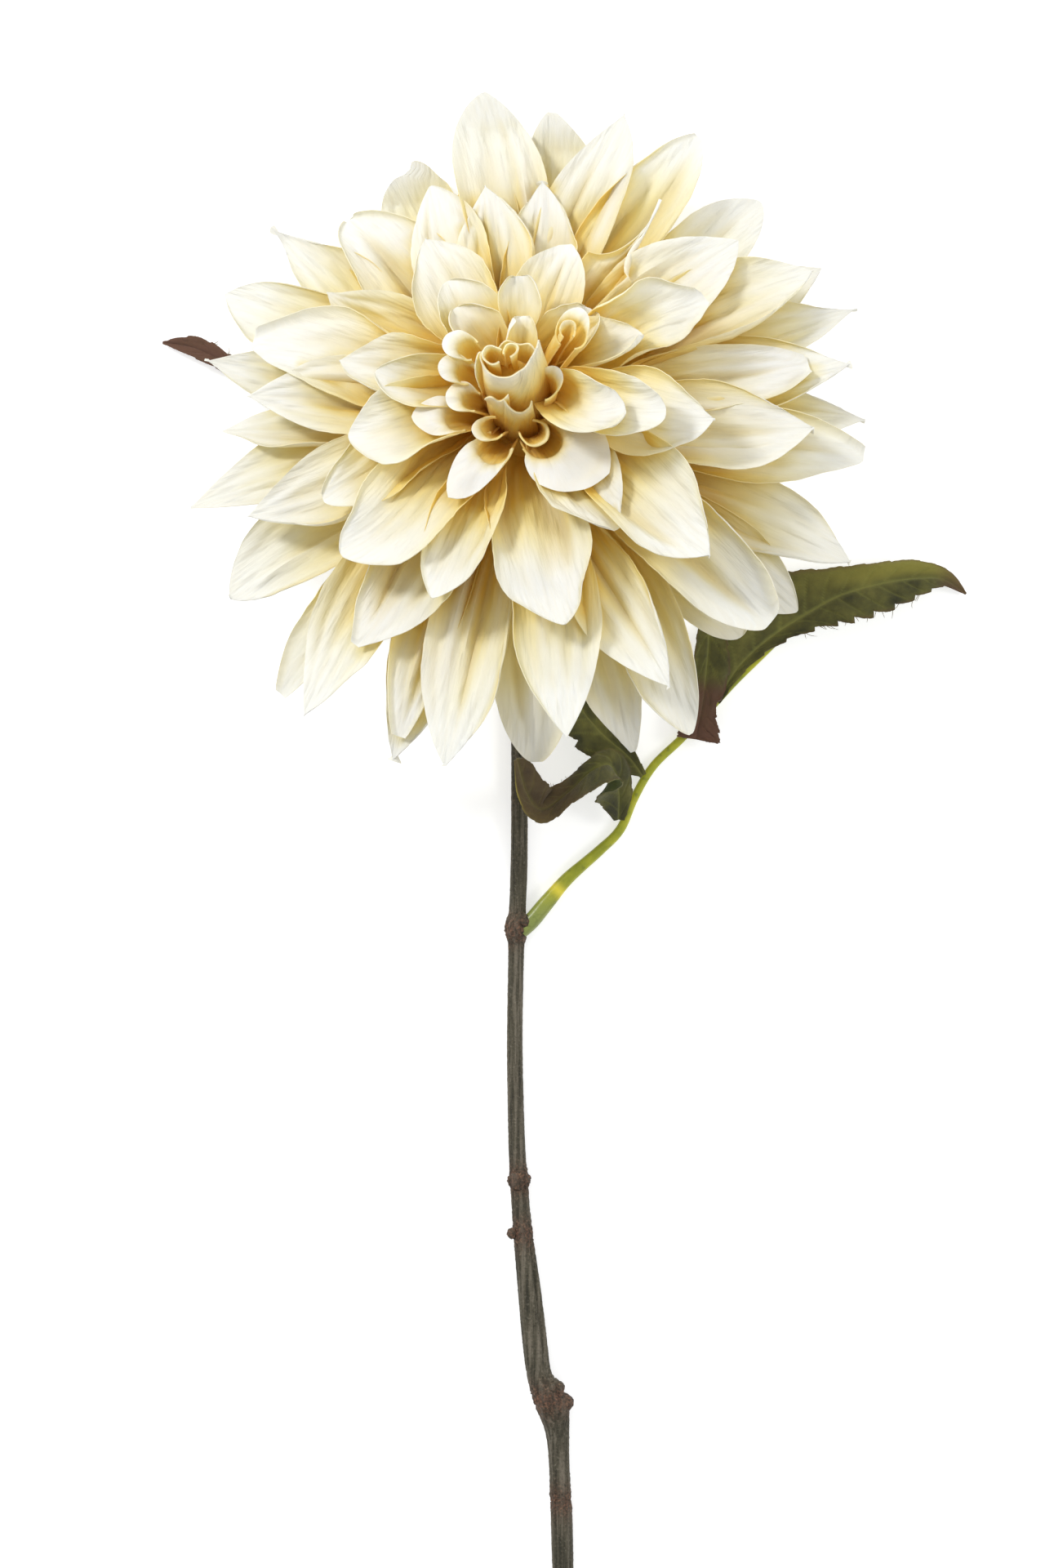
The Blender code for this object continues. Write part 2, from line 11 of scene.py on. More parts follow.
import bpy
import numpy as np
from mathutils import Matrix, Vector, noise
from mathutils.bvhtree import BVHTree


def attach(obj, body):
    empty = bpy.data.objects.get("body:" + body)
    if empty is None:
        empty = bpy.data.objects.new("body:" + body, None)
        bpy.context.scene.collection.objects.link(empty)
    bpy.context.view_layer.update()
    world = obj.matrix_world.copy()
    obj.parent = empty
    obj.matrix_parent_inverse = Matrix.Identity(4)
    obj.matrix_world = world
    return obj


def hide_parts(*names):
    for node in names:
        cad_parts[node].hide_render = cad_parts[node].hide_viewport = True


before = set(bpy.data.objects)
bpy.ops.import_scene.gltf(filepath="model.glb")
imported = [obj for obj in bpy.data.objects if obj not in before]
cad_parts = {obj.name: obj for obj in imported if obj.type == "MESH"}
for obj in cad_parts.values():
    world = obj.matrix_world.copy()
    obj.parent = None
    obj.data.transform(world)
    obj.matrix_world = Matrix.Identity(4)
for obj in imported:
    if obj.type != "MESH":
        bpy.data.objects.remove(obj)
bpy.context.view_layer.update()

MM = 0.001
SHARP_ANGLE = 50

# Driving dimensions, the same as those of the solids
FOOT = Vector((-10.7, 152.6, 38.0))
BELOW = Vector((FOOT.x, FOOT.y, 0.0))
LEAN_BACK = 20.0
LEAN_SIDE = 5.0
AXIS = Vector((-math.sin(math.radians(LEAN_SIDE)), math.sin(math.radians(LEAN_BACK)), 1.0))
AXIS.z = math.sqrt(1.0 - AXIS.x**2 - AXIS.y**2)
TIGHTEST_ROLL = 2.0
WIDEST_ROLL = 2.6
MIDRIB_HANDLE = 0.36
LIFT_AT_ROOT = 0.6

# The photograph's view: straight down, with this many millimetres of the bloom to a pixel
PHOTO_WIDTH = 1280
PHOTO_HEIGHT = 1920
MM_PER_PIXEL = 0.231
FOOT_PIXEL = (645, 535)
CAMERA_HEIGHT = 3.0  # in metres, as the next one
SHARP_HEIGHT = 0.045  # height of the plane at which that scale holds

# Petals
PETAL_THICKNESS = 0.5
PETAL_STACKING = 0.75
PETAL_COLUMNS = 28
PETAL_ROWS = 48
PETAL_WIDEST = 0.58  # share along at which a petal is widest
MIDRIB_STRETCH = 1.06  # length of a midrib for each millimetre from its root straight to its tip
PLAIN_WIDTH = 26.0  # a petal of this width has ribs, ruffles and bends of plain size
UV_UNIT = 100.0  # so many millimetres of fabric are 1 on the UV map
HOLLOW_REACH = 42.0  # how far a petal looks for others when its hollows are found
LOOK_START = 0.7  # how far off the petal a look starts
LOOK_RINGS = ((0.3, 4), (0.62, 6), (0.87, 8))  # sine of the angle to the normal, looks on that ring
LOOK_GRID = (13, 9)  # rows and columns of places that look round on each petal
# Shares of the painted golden shade of a hollow that the upper side and the underside show
PAINTED_HOLLOW_SHADE = {"bud": (0.74, 0.8), "petals_crown": (0.84, 0.5)}
PLAIN_HOLLOW_SHADE = (1.0, 0.5)

# root_share is the width at the root as a share of the widest, tip_roll the share of the roll at
# the tip, and lip how far the edges and the tip bend out again.
Layer = namedtuple(
    "Layer",
    "root_radius root_height tip_height leave arrive rib_depth root_share tip_roll lip",
)
LAYERS = {
    "back": Layer(15.0, 1.0, -10.0, 10.0, -20.0, 1.3, 0.16, 0.45, 0.0),
    "outer": Layer(15.0, 5.0, -2.0, 18.0, -14.0, 1.35, 0.16, 0.5, 0.0),
    "middle": Layer(13.5, 10.0, 8.0, 26.0, -8.0, 1.2, 0.16, 0.55, 0.1),
    "inner": Layer(11.0, 16.0, 24.0, 42.0, 0.0, 0.9, 0.22, 0.7, 0.3),
    "crown": Layer(8.5, 21.0, 38.0, 58.0, 8.0, 0.25, 0.42, 0.95, 0.7),
    "crest": Layer(6.0, 25.0, 49.0, 72.0, 20.0, 0.12, 0.5, 0.7, 1.0),
}
# blunt is how blunt the tip is, turned_up how far the edges turn up, and the next two how golden the
# petal is and how far painted shade greys it. A few petals have a tip_roll of their own, how far the
# tip bends up, and how much deeper their ribs are.
Petal = namedtuple(
    "Petal",
    "azimuth reach width lift roll blunt turned_up gold grey twist sweep tip_roll tip_bend ribs",
    defaults=(0, 0, None, None, 1.0),
)
PETALS = {
    "back": (
        (96.5, 103, 28, 2, 24, 0.55, 0.5, 0.3, 0.3), (85.5, 96, 25, -2, 22, 0.5, 0.0, 0.6, 0.4, 4),
        (115, 87, 24, -2, 26, 0.8, 0.5, 0.7, 0.3), (128, 82, 22, 0, 24, 0.6, 0.0, 0.5, 0.3),
        (140, 95, 22, -2, 24, 0.1, 0.3, 0.3, 0.4, -6), (154, 96, 27, 2, 24, 0.6, 0.6, 0.5, 0.4),
        (166, 94, 21, -2, 30, 0.3, 0.4, 0.2, 0.5, -12), (178, 87, 21, 2, 34, 0.3, 0.5, 0.3, 0.7, 22),
        (192, 97, 22, -2, 18, 0.3, 0.5, 0.1, 0.7, 24, -4), (209, 95, 29, 2, 22, 0.8, 0.5, 0.6, 0.5),
        (226, 101, 22, -2, 26, 0.4, 0.4, 0.5, 0.5, 10), (248, 99, 26, 1, 24, 0.5, 0.4, 0.4, 0.5, 6),
        (271, 92, 25, -3, 18, 0.7, 0.2, 0.3, 0.9), (288, 94, 22, -1, 22, 0.4, 0.4, 0.3, 0.6),
        (299, 96, 24, 3, 26, 0.6, 0.6, 0.2, 0.4), (317, 83, 23, -2, 20, 0.8, 0.2, 0.3, 0.8),
        (327, 91, 24, 2, 24, 0.6, 0.4, 0.3, 0.6), (344, 79, 18, -2, 26, 0.5, 0.2, 0.5, 0.6),
        (338.5, 98, 26, 2, 22, 0.5, 0.4, 0.5, 0.7), (3, 96, 24, -2, 24, 0.2, 0.4, 0.4, 0.5),
        (21.5, 101, 23, 2, 24, 0.1, 0.4, 0.3, 0.5), (30, 97, 22, -3, 24, 0.6, 0.2, 0.6, 0.6),
        (46, 98, 23, -1, 22, 0.7, 0.3, 0.4, 0.4),
    ),
    "outer": (
        (73, 97, 24, 2, 24, 0.5, 0.3, 0.1, 0.4), (60.5, 101, 26, -1, 30, 0.5, 0.8, 0.9, 0.1),
        (30, 94, 30, 3, 38, 0.5, 1.0, 0.9, 0.2), (12, 94, 26, 0, 26, 0.4, 0.6, 0.6, 0.3),
        (357, 96, 27, 0, 28, 0.3, 0.5, 0.6, 0.2, -8), (256.5, 96, 26, 1, 24, 0.5, 0.5, 0.6, 0.1),
        (232, 101, 26, 1, 30, 0.4, 0.7, 0.5, 0.3), (128.5, 82, 29, 0, 22, 0.7, 0.4, 0.3, 0.0),
        (98.5, 85, 20, -1, 24, 0.5, 0.3, 0.2, 0.1), (92, 82, 19, -3, 22, 0.5, 0.2, 0.4, 0.1),
        (247, 92, 20, 1, 28, 0.4, 0.6, 0.5, 0.1),
    ),
    "middle": (
        (160, 84, 28, 0, 24, 0.3, 0.3, 0.2, 0.1), (171.5, 80, 24, 0, 28, 0.2, 0.5, 0.3, 0.3, -18),
        (111, 78, 25, -3, 22, 0.5, 0.2, 0.3, 0.0), (196, 82, 26, 0, 26, 0.3, 0.6, 0.3, 0.3, 0, -6),
        (322.5, 86, 29, 1, 28, 0.6, 0.5, 0.4, 0.1), (299.5, 82, 25, 0, 28, 0.4, 0.8, 0.6, 0.0),
        (277.5, 86, 27, 0, 26, 0.4, 0.5, 0.4, 0.0), (43, 82, 27, 1, 26, 0.5, 0.4, 0.2, 0.0),
        (1, 81, 32, 1, 30, 0.4, 0.6, 0.4, 0.4), (15.5, 83, 24, -2, 28, 0.4, 0.6, 0.2, 0.0, 14),
        (231, 76, 30, 4, 22, 0.3, 0.3, 0.3, 0.2),
        (60.5, 77, 23, 5, 46, -0.9, 1.0, 0.5, 0.0, 20, 11, 0.8, 2.0),
        (99, 73, 27, 1, 32, 0.3, 0.4, 0.5, 0.2, -8), (86.5, 73, 23, 0, 24, 0.5, 0.3, 0.3, 0.1),
        (144, 71, 24, 2, 34, 0.2, 0.5, 0.6, 0.1, -22),
    ),
    "inner": (
        (197, 60, 24, 0, 28, 0.5, 0.5, 0.4, 0.0), (213, 62, 31, 2, 30, 0.6, 0.5, 0.4, 0.1),
        (326, 62, 30, 3, 30, 0.5, 0.3, 0.2, 0.0), (38, 64, 26, 4, 40, 0.3, 0.7, 0.6, 0.0, 14),
        (281, 54.5, 30, 0, 24, 0.6, 0.2, 0.1, 0.0), (117, 63, 26, -2, 30, 0.5, 0.4, 0.4, 0.1),
        (78, 57, 22, 0, 36, 0.4, 0.6, 0.6, 0.0), (4, 53, 28, 6, 30, 0.4, 0.4, 0.3, 0.0),
        (158, 57, 23, 0, 34, 0.4, 0.5, 0.5, 0.0), (240, 53, 24, 2, 34, 0.5, 0.4, 0.5, 0.0),
    ),
    "crown": (
        (117, 49, 21, -2, 40, 0.6, 0.3, 0.5, 0.1), (93, 45, 17, 0, 62, 0.8, 0.3, 0.6, 0.1),
        (64, 40, 22, -2, 70, 0.6, 0.3, 0.4, 0.0), (157, 46, 22, -2, 46, 0.5, 0.4, 0.6, 0.0),
        (180, 50, 28, -4, 40, 0.6, 0.4, 0.4, 0.0), (119, 41, 19, 0, 62, 0.7, 0.3, 0.7, 0.1),
        (43, 43, 20, -2, 60, 0.5, 0.4, 0.7, 0.0), (11, 39, 22, 6, 54, 0.7, 0.2, 0.4, 0.0),
        (316, 36, 26, -6, 40, 0.3, 0.2, 0.1, 0.0, 0, 0, 0.5, -3.0, 5.0),
    ),
    "crest": (
        (92, 33, 14, -4, 80, 0.5, 0.2, 0.7, 0.0, 0, 0, 0.7, -2.0),
        (18, 27, 20, 1, 70, 0.6, 0.2, 0.6, 0.0, 0, 0, 0.6, -4.0),
    ),
}
# Trumpets are the rolled petals of the heart. azimuth and offset place the mouth's centre, root and
# mouth are heights, root_share is the share of the offset at the root, and wrap is half the angle
# that the petal goes round. flare is the length of the lip all round, tongue what the tongue adds
# to it, point how pointed the tongue is, and round_end how round its end is.
Trumpet = namedtuple(
    "Trumpet",
    "azimuth offset radius root root_share mouth wrap tongue_way tongue point flare round_end",
)
TRUMPETS = (
    (178, 4.0, 2.4, 44.0, 0.9, 60.5, 140, 170, 0.6, 1.0, 1.2, 2.0),
    (52, 1.3, 1.7, 44.0, 0.9, 61.5, 150, 60, 0.4, 1.0, 1.1, 2.0),
    (338, 9.8, 4.0, 26.0, 0.75, 47.0, 125, 40, 3.0, 2.0, 0.8, 2.0),
    (292, 14.6, 3.7, 20.0, 0.45, 37.0, 135, 320, 1.6, 1.0, 0.9, 2.0),
    (299, 16.6, 5.6, 20.0, 0.4, 33.0, 128, 334, 15.5, 0.42, 1.5, 1.1),
    (249, 18.2, 4.6, 20.0, 0.4, 33.5, 130, 227, 14.5, 1.9, 1.8, 1.25),
    (207, 18.2, 3.8, 20.0, 0.35, 35.5, 125, 178, 9.5, 1.0, 1.2, 1.3),
    (204, 12.7, 3.0, 24.0, 0.5, 41.0, 120, 165, 5.0, 1.0, 1.0, 2.0),
    (174, 13.3, 3.1, 24.0, 0.5, 43.5, 125, 160, 5.2, 1.2, 1.2, 1.7),
    (149, 14.8, 3.0, 24.0, 0.45, 46.0, 125, 165, 4.8, 1.2, 1.2, 1.7),
    (241, 13.6, 3.3, 22.0, 0.5, 37.0, 125, 200, 3.0, 1.5, 1.0, 2.0),
    (36, 20.6, 4.2, 24.0, 0.35, 44.5, 150, 70, 4.2, 1.3, 1.2, 1.4),
    (38, 20.2, 2.0, 30.0, 0.5, 46.5, 140, 90, 1.2, 1.0, 0.9, 2.0),
)
TRUMPET_ROWS = 34
TRUMPET_COLUMNS = 44
TRUMPET_GOLD = 0.6
TONGUE_ANGLE = 1.96  # radians from its middle at which a tongue ends
LIP_BEND = 2.2  # radius on which a lip bends out
LIP_DROOP = 1.75  # radians that a tongue bends through
# Wraps round the bud: azimuths of the root's two ends, radii there, root height, bulge, flare of
# the lip, and points on the top edge as (azimuth, radius, height)
BUD_WRAPS = (
    (
        (140, 352, 6.2, 9.2, 28.0, 1.0, 0.5),
        (
            (138, 5.4, 57.0), (160, 6.6, 60.0), (188, 6.9, 60.6), (216, 6.2, 59.4), (253, 5.0, 58.0),
            (300, 4.3, 58.4), (340, 5.2, 59.6), (370, 6.9, 59.8), (393, 9.4, 58.6),
        ),
    ),
    (
        (166, 206, 7.6, 8.4, 28.0, 0.6, 0.8),
        ((150, 6.9, 53.0), (164, 7.8, 57.0), (182, 8.6, 54.0), (196, 9.2, 45.0)),
    ),
    (
        (212, 258, 9.0, 9.6, 24.0, 0.4, 0.9),
        ((218, 8.8, 45.5), (232, 8.6, 50.0), (249, 8.0, 48.6), (267, 7.5, 53.4)),
    ),
    (
        (246, 304, 10.0, 10.6, 22.0, 0.4, 0.9),
        ((257, 8.4, 51.6), (268, 9.2, 46.8), (282, 9.6, 44.6), (296, 9.8, 46.0), (305, 9.8, 49.4)),
    ),
    (
        (20, 130, 7.0, 6.8, 26.0, 0.6, 0.7),
        ((24, 8.4, 46.0), (50, 8.4, 51.0), (75, 7.8, 49.0), (100, 7.4, 53.0), (128, 7.0, 48.0)),
    ),
)
WRAP_ROWS = 30
WRAP_COLUMNS_A_POINT = 10
WRAP_GOLD = 0.7
# The core that holds the petals: radius, height on the axis
CORE_PROFILE = (
    (0.01, -3.0), (15.5, -3.0), (17.6, -0.5), (17.4, 5.0), (16.2, 10.5), (13.6, 16.5),
    (11.0, 21.5), (8.2, 27.0), (6.8, 34.0), (5.8, 44.0), (3.6, 50.0), (0.01, 52.0),
)
CORE_SIDES = 48

# Calyx: radius, height on the axis
CALYX_TOP = -3.3
CALYX_PROFILE = (
    (0.01, -21.3), (3.6, -21.3), (4.1, -19.5), (5.0, -17.3), (6.8, -13.7), (8.6, -10.3),
    (9.9, -7.7), (10.4, -5.5), (9.9, -4.0), (9.0, CALYX_TOP), (0.01, CALYX_TOP),
)
CALYX_SIDES = 36
BRACTS = 10
BRACT_ROOT = 6.5
BRACT_LENGTH = 21.0
BRACT_HALF_WIDTH = 5.7
BRACT_THICKNESS = 0.6
BRACT_ROWS = 24
BRACT_COLUMNS = 12

# Stem: distance before the foot, distance to +X, radius
STEM_COURSE = (
    (34.0, -1.5, 2.4), (60.0, -2.0, 2.4), (92.0, -2.0, 2.4), (120.0, -2.1, 2.4),
    (134.0, -2.6, 2.4), (137.0, -2.8, 2.9), (139.8, -2.9, 3.3), (142.6, -2.9, 2.7),
    (146.0, -3.0, 2.3), (173.5, -3.4, 2.3), (200.0, -2.8, 2.4), (209.5, -2.3, 2.6),
    (211.8, -2.1, 3.4), (214.0, -2.0, 2.6), (228.0, -1.0, 2.7), (245.0, 0.8, 3.1),
    (258.0, 2.2, 3.3), (267.0, 3.5, 3.4), (271.8, 5.4, 4.1), (276.0, 7.4, 4.7),
    (280.3, 8.4, 4.0), (285.0, 9.0, 3.3), (293.0, 9.4, 2.9), (302.5, 9.8, 2.9),
    (304.0, 9.9, 2.6), (305.5, 10.0, 3.0), (322.0, 10.4, 3.0), (324.0, 10.4, 2.7),
    (326.0, 10.4, 3.0), (350.0, 11.4, 3.0), (376.0, 12.0, 3.1), (378.5, 12.1, 3.4),
    (381.0, 12.1, 3.0), (403.0, 12.4, 3.0),
)
NECK_START = -21.6  # height on the axis at which the stem leaves the calyx
NECK_RADIUS = 2.4
STEM_FLAT = 0.2  # how much of the stem is pressed flat where it lies
STEM_RINGS = 800
STEM_SIDES = 48
# Buds and stubs on the stem: distance before the foot, distance to +X, height, radius
STEM_KNOBS = (
    (137.6, -0.9, 4.0, 2.3), (141.4, -4.2, 3.0, 1.9), (227.0, -4.0, 3.2, 1.7),
    (271.6, 8.0, 5.2, 2.9), (275.6, 10.6, 4.6, 2.9), (274.0, 3.9, 4.6, 2.2),
)
KNOB_ROWS = 14
KNOB_SIDES = 22
KNOTS = (140.0, 211.8, 227.0, 274.5, 304.0, 378.5)  # distances before the foot
KNOT_SPREAD = 4.5
CRACKED = (222.0, 272.0)  # where a ridge and a crack run along the stem
# Stalks: distance to +X, distance to +Y, height, radius
STALKS = {
    "leaf_right_stalk": (
        (-1.6, -140.4, 3.5, 2.2), (1.7, -137.2, 3.6, 2.4), (6.2, -131.6, 3.2, 2.2),
        (12.2, -124.9, 2.6, 1.8), (21.0, -117.2, 2.2, 1.5), (27.0, -111.0, 2.0, 1.35),
        (31.0, -102.0, 1.9, 1.25), (36.4, -93.0, 1.8, 1.2), (44.4, -85.2, 1.7, 1.2),
        (53.0, -76.0, 2.0, 1.2), (60.5, -68.0, 2.6, 1.15), (72.6, -56.6, 4.1, 0.8),
    ),
    "leaf_left_stalk": (
        (-6.2, -70.0, 2.6, 1.9), (-10.0, -65.0, 2.6, 1.8), (-20.0, -55.0, 2.2, 1.5),
        (-33.0, -42.0, 2.0, 1.4), (-46.0, -29.0, 1.9, 1.3), (-56.0, -14.6, 2.2, 1.3),
        (-64.6, -3.0, 2.9, 1.1),
    ),
}
STALK_RINGS = 160
STALK_SIDES = 24
STALK_FOOT = 13.0  # length of a stalk's duller foot
STALK_SPOT = (16.0, 1.8)  # how far up its yellow ring is, and the ring's spread

# Leaf blades: stations of the midrib are (distance to +X, distance to +Y, height, roll, width to the
# left, width to the right), bites are the depths of the teeth to the left and to the right, brown is
# (strength, share along at which it starts), the pale part is a painted highlight, a lighter sheen, as
# (share along, spread, strength), and threads the number of loose ones.
Blade = namedtuple(
    "Blade",
    "stations teeth bites fold brown pale threads",
    defaults=(8, (0.2, 0.2), 0.16, (0.3, 0.8), (0.5, 0.3, 0.0), 0),
)
BLADES = {
    "leaf_right_blade": Blade(
        stations=(
            (54.5, -74.5, 3.9, 0, 2.0, 1.2), (61.0, -64.6, 4.2, 0, 11.0, 2.2),
            (70.0, -56.2, 5.2, 0, 14.5, 3.2), (80.5, -49.4, 7.4, -4, 14.0, 5.6),
            (89.9, -44.2, 8.4, -8, 8.6, 9.2), (100.6, -41.0, 8.2, -8, 6.2, 9.0),
            (111.2, -39.3, 6.4, -6, 5.4, 6.0), (119.6, -39.4, 3.8, -4, 3.0, 2.4),
            (126.2, -43.6, 1.6, 0, 0.3, 0.3),
        ),
        teeth=13,
        bites=(0.05, 0.24),
        fold=0.12,
        brown=(0.9, 0.8),
        pale=(0.74, 0.3, 0.55),
        threads=16,
    ),
    "leaf_right_lobe": Blade(
        stations=(
            (52.6, -53.0, 8.4, 0, 3.6, 3.4), (52.0, -61.0, 7.8, 0, 6.6, 4.0),
            (51.2, -70.0, 6.8, 0, 6.2, 4.2), (50.4, -76.0, 6.2, 0, 4.2, 4.4),
            (49.2, -82.0, 5.6, 0, 6.4, 5.2), (48.6, -85.4, 5.2, 0, 7.0, 5.8),
        ),
        teeth=6,
        bites=(0.12, 0.1),
        fold=0.1,
        brown=(1.0, 0.3),
    ),
    "leaflet_front": Blade(
        stations=(
            (26.4, -108.4, 4.5, 10, 1.6, 1.6), (26.5, -100.0, 8.0, 18, 8.4, 4.0),
            (24.0, -93.0, 13.5, 40, 9.4, 5.0), (18.5, -94.5, 16.0, 40, 8.6, 3.2),
            (12.0, -100.5, 14.0, 30, 4.4, 3.6), (4.5, -105.5, 13.0, 14, 4.4, 6.4),
            (0.0, -100.5, 16.0, 10, 3.0, 6.4), (-2.6, -91.0, 21.0, 10, 1.2, 3.0),
        ),
        teeth=12,
        bites=(0.08, 0.08),
        fold=0.26,
        brown=(0.5, 0.42),
        pale=(0.88, 0.12, 1.0),
        threads=10,
    ),
    "leaflet_back": Blade(
        stations=(
            (33.4, -95.8, 4.15, 0, 1.0, 1.2), (29.0, -90.0, 5.2, -6, 6.4, 2.6),
            (22.0, -84.0, 7.0, 4, 8.6, 6.0), (15.5, -76.5, 8.6, 8, 7.6, 6.4),
            (12.0, -71.0, 9.2, 10, 2.0, 2.0),
        ),
        teeth=7,
        bites=(0.26, 0.18),
        threads=6,
    ),
    "leaf_left_blade": Blade(
        stations=(
            (-58.0, -13.4, 3.9, 0, 1.2, 1.2), (-65.0, -1.6, 3.9, 4, 3.0, 3.0),
            (-73.6, 13.8, 4.4, 8, 2.6, 2.6), (-86.0, 22.4, 3.6, 8, 2.8, 2.8),
            (-95.5, 27.0, 2.8, 4, 2.8, 3.4), (-104.5, 28.5, 1.6, 0, 0.3, 0.3),
        ),
        teeth=9,
        bites=(0.12, 0.16),
        brown=(1.0, 0.3),
        threads=4,
    ),
    "leaflet_left_outer": Blade(
        stations=(
            (-34.0, -41.2, 4.4, -4, 1.0, 1.0), (-42.0, -44.5, 6.6, 0, 6.6, 6.6),
            (-49.5, -44.5, 6.4, 4, 5.0, 4.4), (-56.0, -42.0, 1.6, 4, 0.3, 0.3),
        ),
    ),
    "leaflet_left_inner": Blade(
        stations=(
            (-38.6, -36.6, 4.3, 4, 1.0, 1.0), (-34.5, -28.0, 6.6, 2, 6.2, 6.2),
            (-34.0, -17.0, 6.4, -2, 5.4, 5.4), (-38.0, -6.0, 1.6, -2, 0.3, 0.3),
        ),
    ),
}
BLADE_ROWS_A_TOOTH = 14
BLADE_COLUMNS = 28
LEAF_THICKNESS = 0.45

# Stage, in metres
FLOOR_REACH = 8.0
FLOOR_HEIGHT = -0.0002
WORLD_COLOUR = (0.97, 0.985, 1.0)
WORLD_STRENGTH = 0.64
LIGHT_TARGET = Vector((0.0, 0.15, 0.0))
# Lights: name, place, size, power
LIGHTS = (
    ("left", (-1.2, 1.1, 1.15), 0.4, 23.0),
    ("right", (1.5, 0.2, 1.2), 0.6, 10.0),
    ("top", (0.5, 1.5, 1.7), 0.9, 5.0),
)


# Small helpers
def wobble(*place):
    """Smooth noise from -1 to 1 at a place of three values."""
    return noise.noise(Vector(place))


def bell(value, middle, spread):
    """1 at the middle, falling toward 0 on both sides of it."""
    return math.exp(-(((value - middle) / spread) ** 2))


def ease(start, stop, value):
    """Rises from 0 after start and falls to 0 at stop, with a round top between."""
    share = (value - start) / (stop - start)
    return math.sin(math.pi * min(max(share, 0.0), 1.0)) ** 0.8


def smoothstep(low, high, value):
    t = np.clip((value - low) / (high - low), 0.0, 1.0)
    return t * t * (3.0 - 2.0 * t)


def smooth_point(points, share):
    """A point on the smooth curve through the points, from share 0 at the first to 1 at the last."""
    spans = len(points) - 1
    at = min(share * spans, spans - 1e-6)
    i = int(at)
    t = at - i
    before = points[max(i - 1, 0)]
    start = points[i]
    end = points[i + 1]
    after = points[min(i + 2, spans)]
    return (
        start * (2 * t**3 - 3 * t**2 + 1)
        + (end - before) * 0.5 * (t**3 - 2 * t**2 + t)
        + end * (3 * t**2 - 2 * t**3)
        + (after - start) * 0.5 * (t**3 - t**2)
    )


def course_at(points, share, step):
    """The place on the smooth curve through the points, and the way ahead there."""
    ahead = smooth_point(points, min(share + step, 1.0)) - smooth_point(points, max(share - step, 0.0))
    return smooth_point(points, share), ahead.normalized()


# Mesh helpers
Part = namedtuple("Part", "vertices quads uv marks tones", defaults=(None,))


def plain_part(shape, marks, tones=None):
    """A part from (vertices, quads) whose marks and tones are the same all over."""
    vertices, quads = shape
    count = len(vertices)
    if tones is not None:
        tones = np.tile(np.array(tones), (count, 1))
    return Part(vertices, quads, np.full((count, 2), 0.5), np.tile(np.array(marks), (count, 1)), tones)


def both_faces(values):
    """A grid's values in a row, once for each face of a sheet."""
    return np.tile(values.reshape(-1, values.shape[-1]), (2, 1))


def grid_quads(index):
    """Quads between the neighbours of a grid of vertex numbers."""
    return np.stack([index[:-1, :-1], index[:-1, 1:], index[1:, 1:], index[1:, :-1]], -1).reshape(-1, 4)


def ring_quads(count, sides):
    """Quads between closed rings of vertices that are numbered ring after ring."""
    index = np.arange(count * sides).reshape(count, sides)
    ahead = np.roll(index, -1, axis=1)
    return np.stack([index[:-1], index[1:], ahead[1:], ahead[:-1]], axis=-1).reshape(-1, 4)


def facing(points):
    """Unit normals of a grid of points, on the side from which the grid's columns run to the right."""
    normal = np.cross(np.gradient(points, axis=1), np.gradient(points, axis=0))
    return normal / np.maximum(np.linalg.norm(normal, axis=2, keepdims=True), 1e-9)


def closed_sheet(points, thickness):
    """A thin closed sheet from a grid of points: (vertices, quads), the upper face first."""
    rows, columns, _ = points.shape
    skin = facing(points) * np.asarray(thickness)[..., None] / 2.0
    vertices = np.concatenate([(points + skin).reshape(-1, 3), (points - skin).reshape(-1, 3)])
    index = np.arange(rows * columns).reshape(rows, columns)
    upper = grid_quads(index)
    lower = upper[:, ::-1] + rows * columns
    rim = np.concatenate([index[0, ::-1], index[1:, 0], index[-1, 1:], index[-2::-1, -1]])
    ahead = np.roll(rim, -1)
    side = np.stack([rim, ahead, ahead + rows * columns, rim + rows * columns], axis=-1)
    return vertices, np.concatenate([upper, lower, side[rim != ahead]])


def add_object(name, data):
    made = bpy.data.objects.new(name, data)
    bpy.context.scene.collection.objects.link(made)
    return made


def mesh_object(name, parts):
    """One mesh from its parts, with their UV map, and their marks and tones as attributes."""
    vertices = np.concatenate([part.vertices for part in parts]) * MM
    starts = np.cumsum([0] + [len(part.vertices) for part in parts[:-1]])
    quads = np.concatenate([part.quads + start for part, start in zip(parts, starts)])
    mesh = bpy.data.meshes.new(name)
    mesh.vertices.add(len(vertices))
    mesh.vertices.foreach_set("co", vertices.astype(np.float32).ravel())
    mesh.loops.add(quads.size)
    mesh.loops.foreach_set("vertex_index", quads.astype(np.int32).ravel())
    mesh.polygons.add(len(quads))
    mesh.polygons.foreach_set("loop_start", np.arange(0, quads.size, 4, dtype=np.int32))
    mesh.update(calc_edges=True)
    layer = mesh.uv_layers.new(name="UVMap")
    uv = np.concatenate([part.uv for part in parts])[quads.ravel()]
    layer.data.foreach_set("uv", uv.astype(np.float32).ravel())
    for attribute in ("marks", "tones"):
        values = [getattr(part, attribute) for part in parts]
        if values[0] is not None:
            colour = mesh.color_attributes.new(name=attribute, type="FLOAT_COLOR", domain="POINT")
            colour.data.foreach_set("color", np.concatenate(values).astype(np.float32).ravel())
    mesh.validate()
    mesh.shade_smooth()
    mesh.set_sharp_from_angle(angle=math.radians(SHARP_ANGLE))
    return add_object(name, mesh)


def finish(piece, material, node):
    piece.data.materials.append(material)
    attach(piece, "root")
    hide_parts(node)
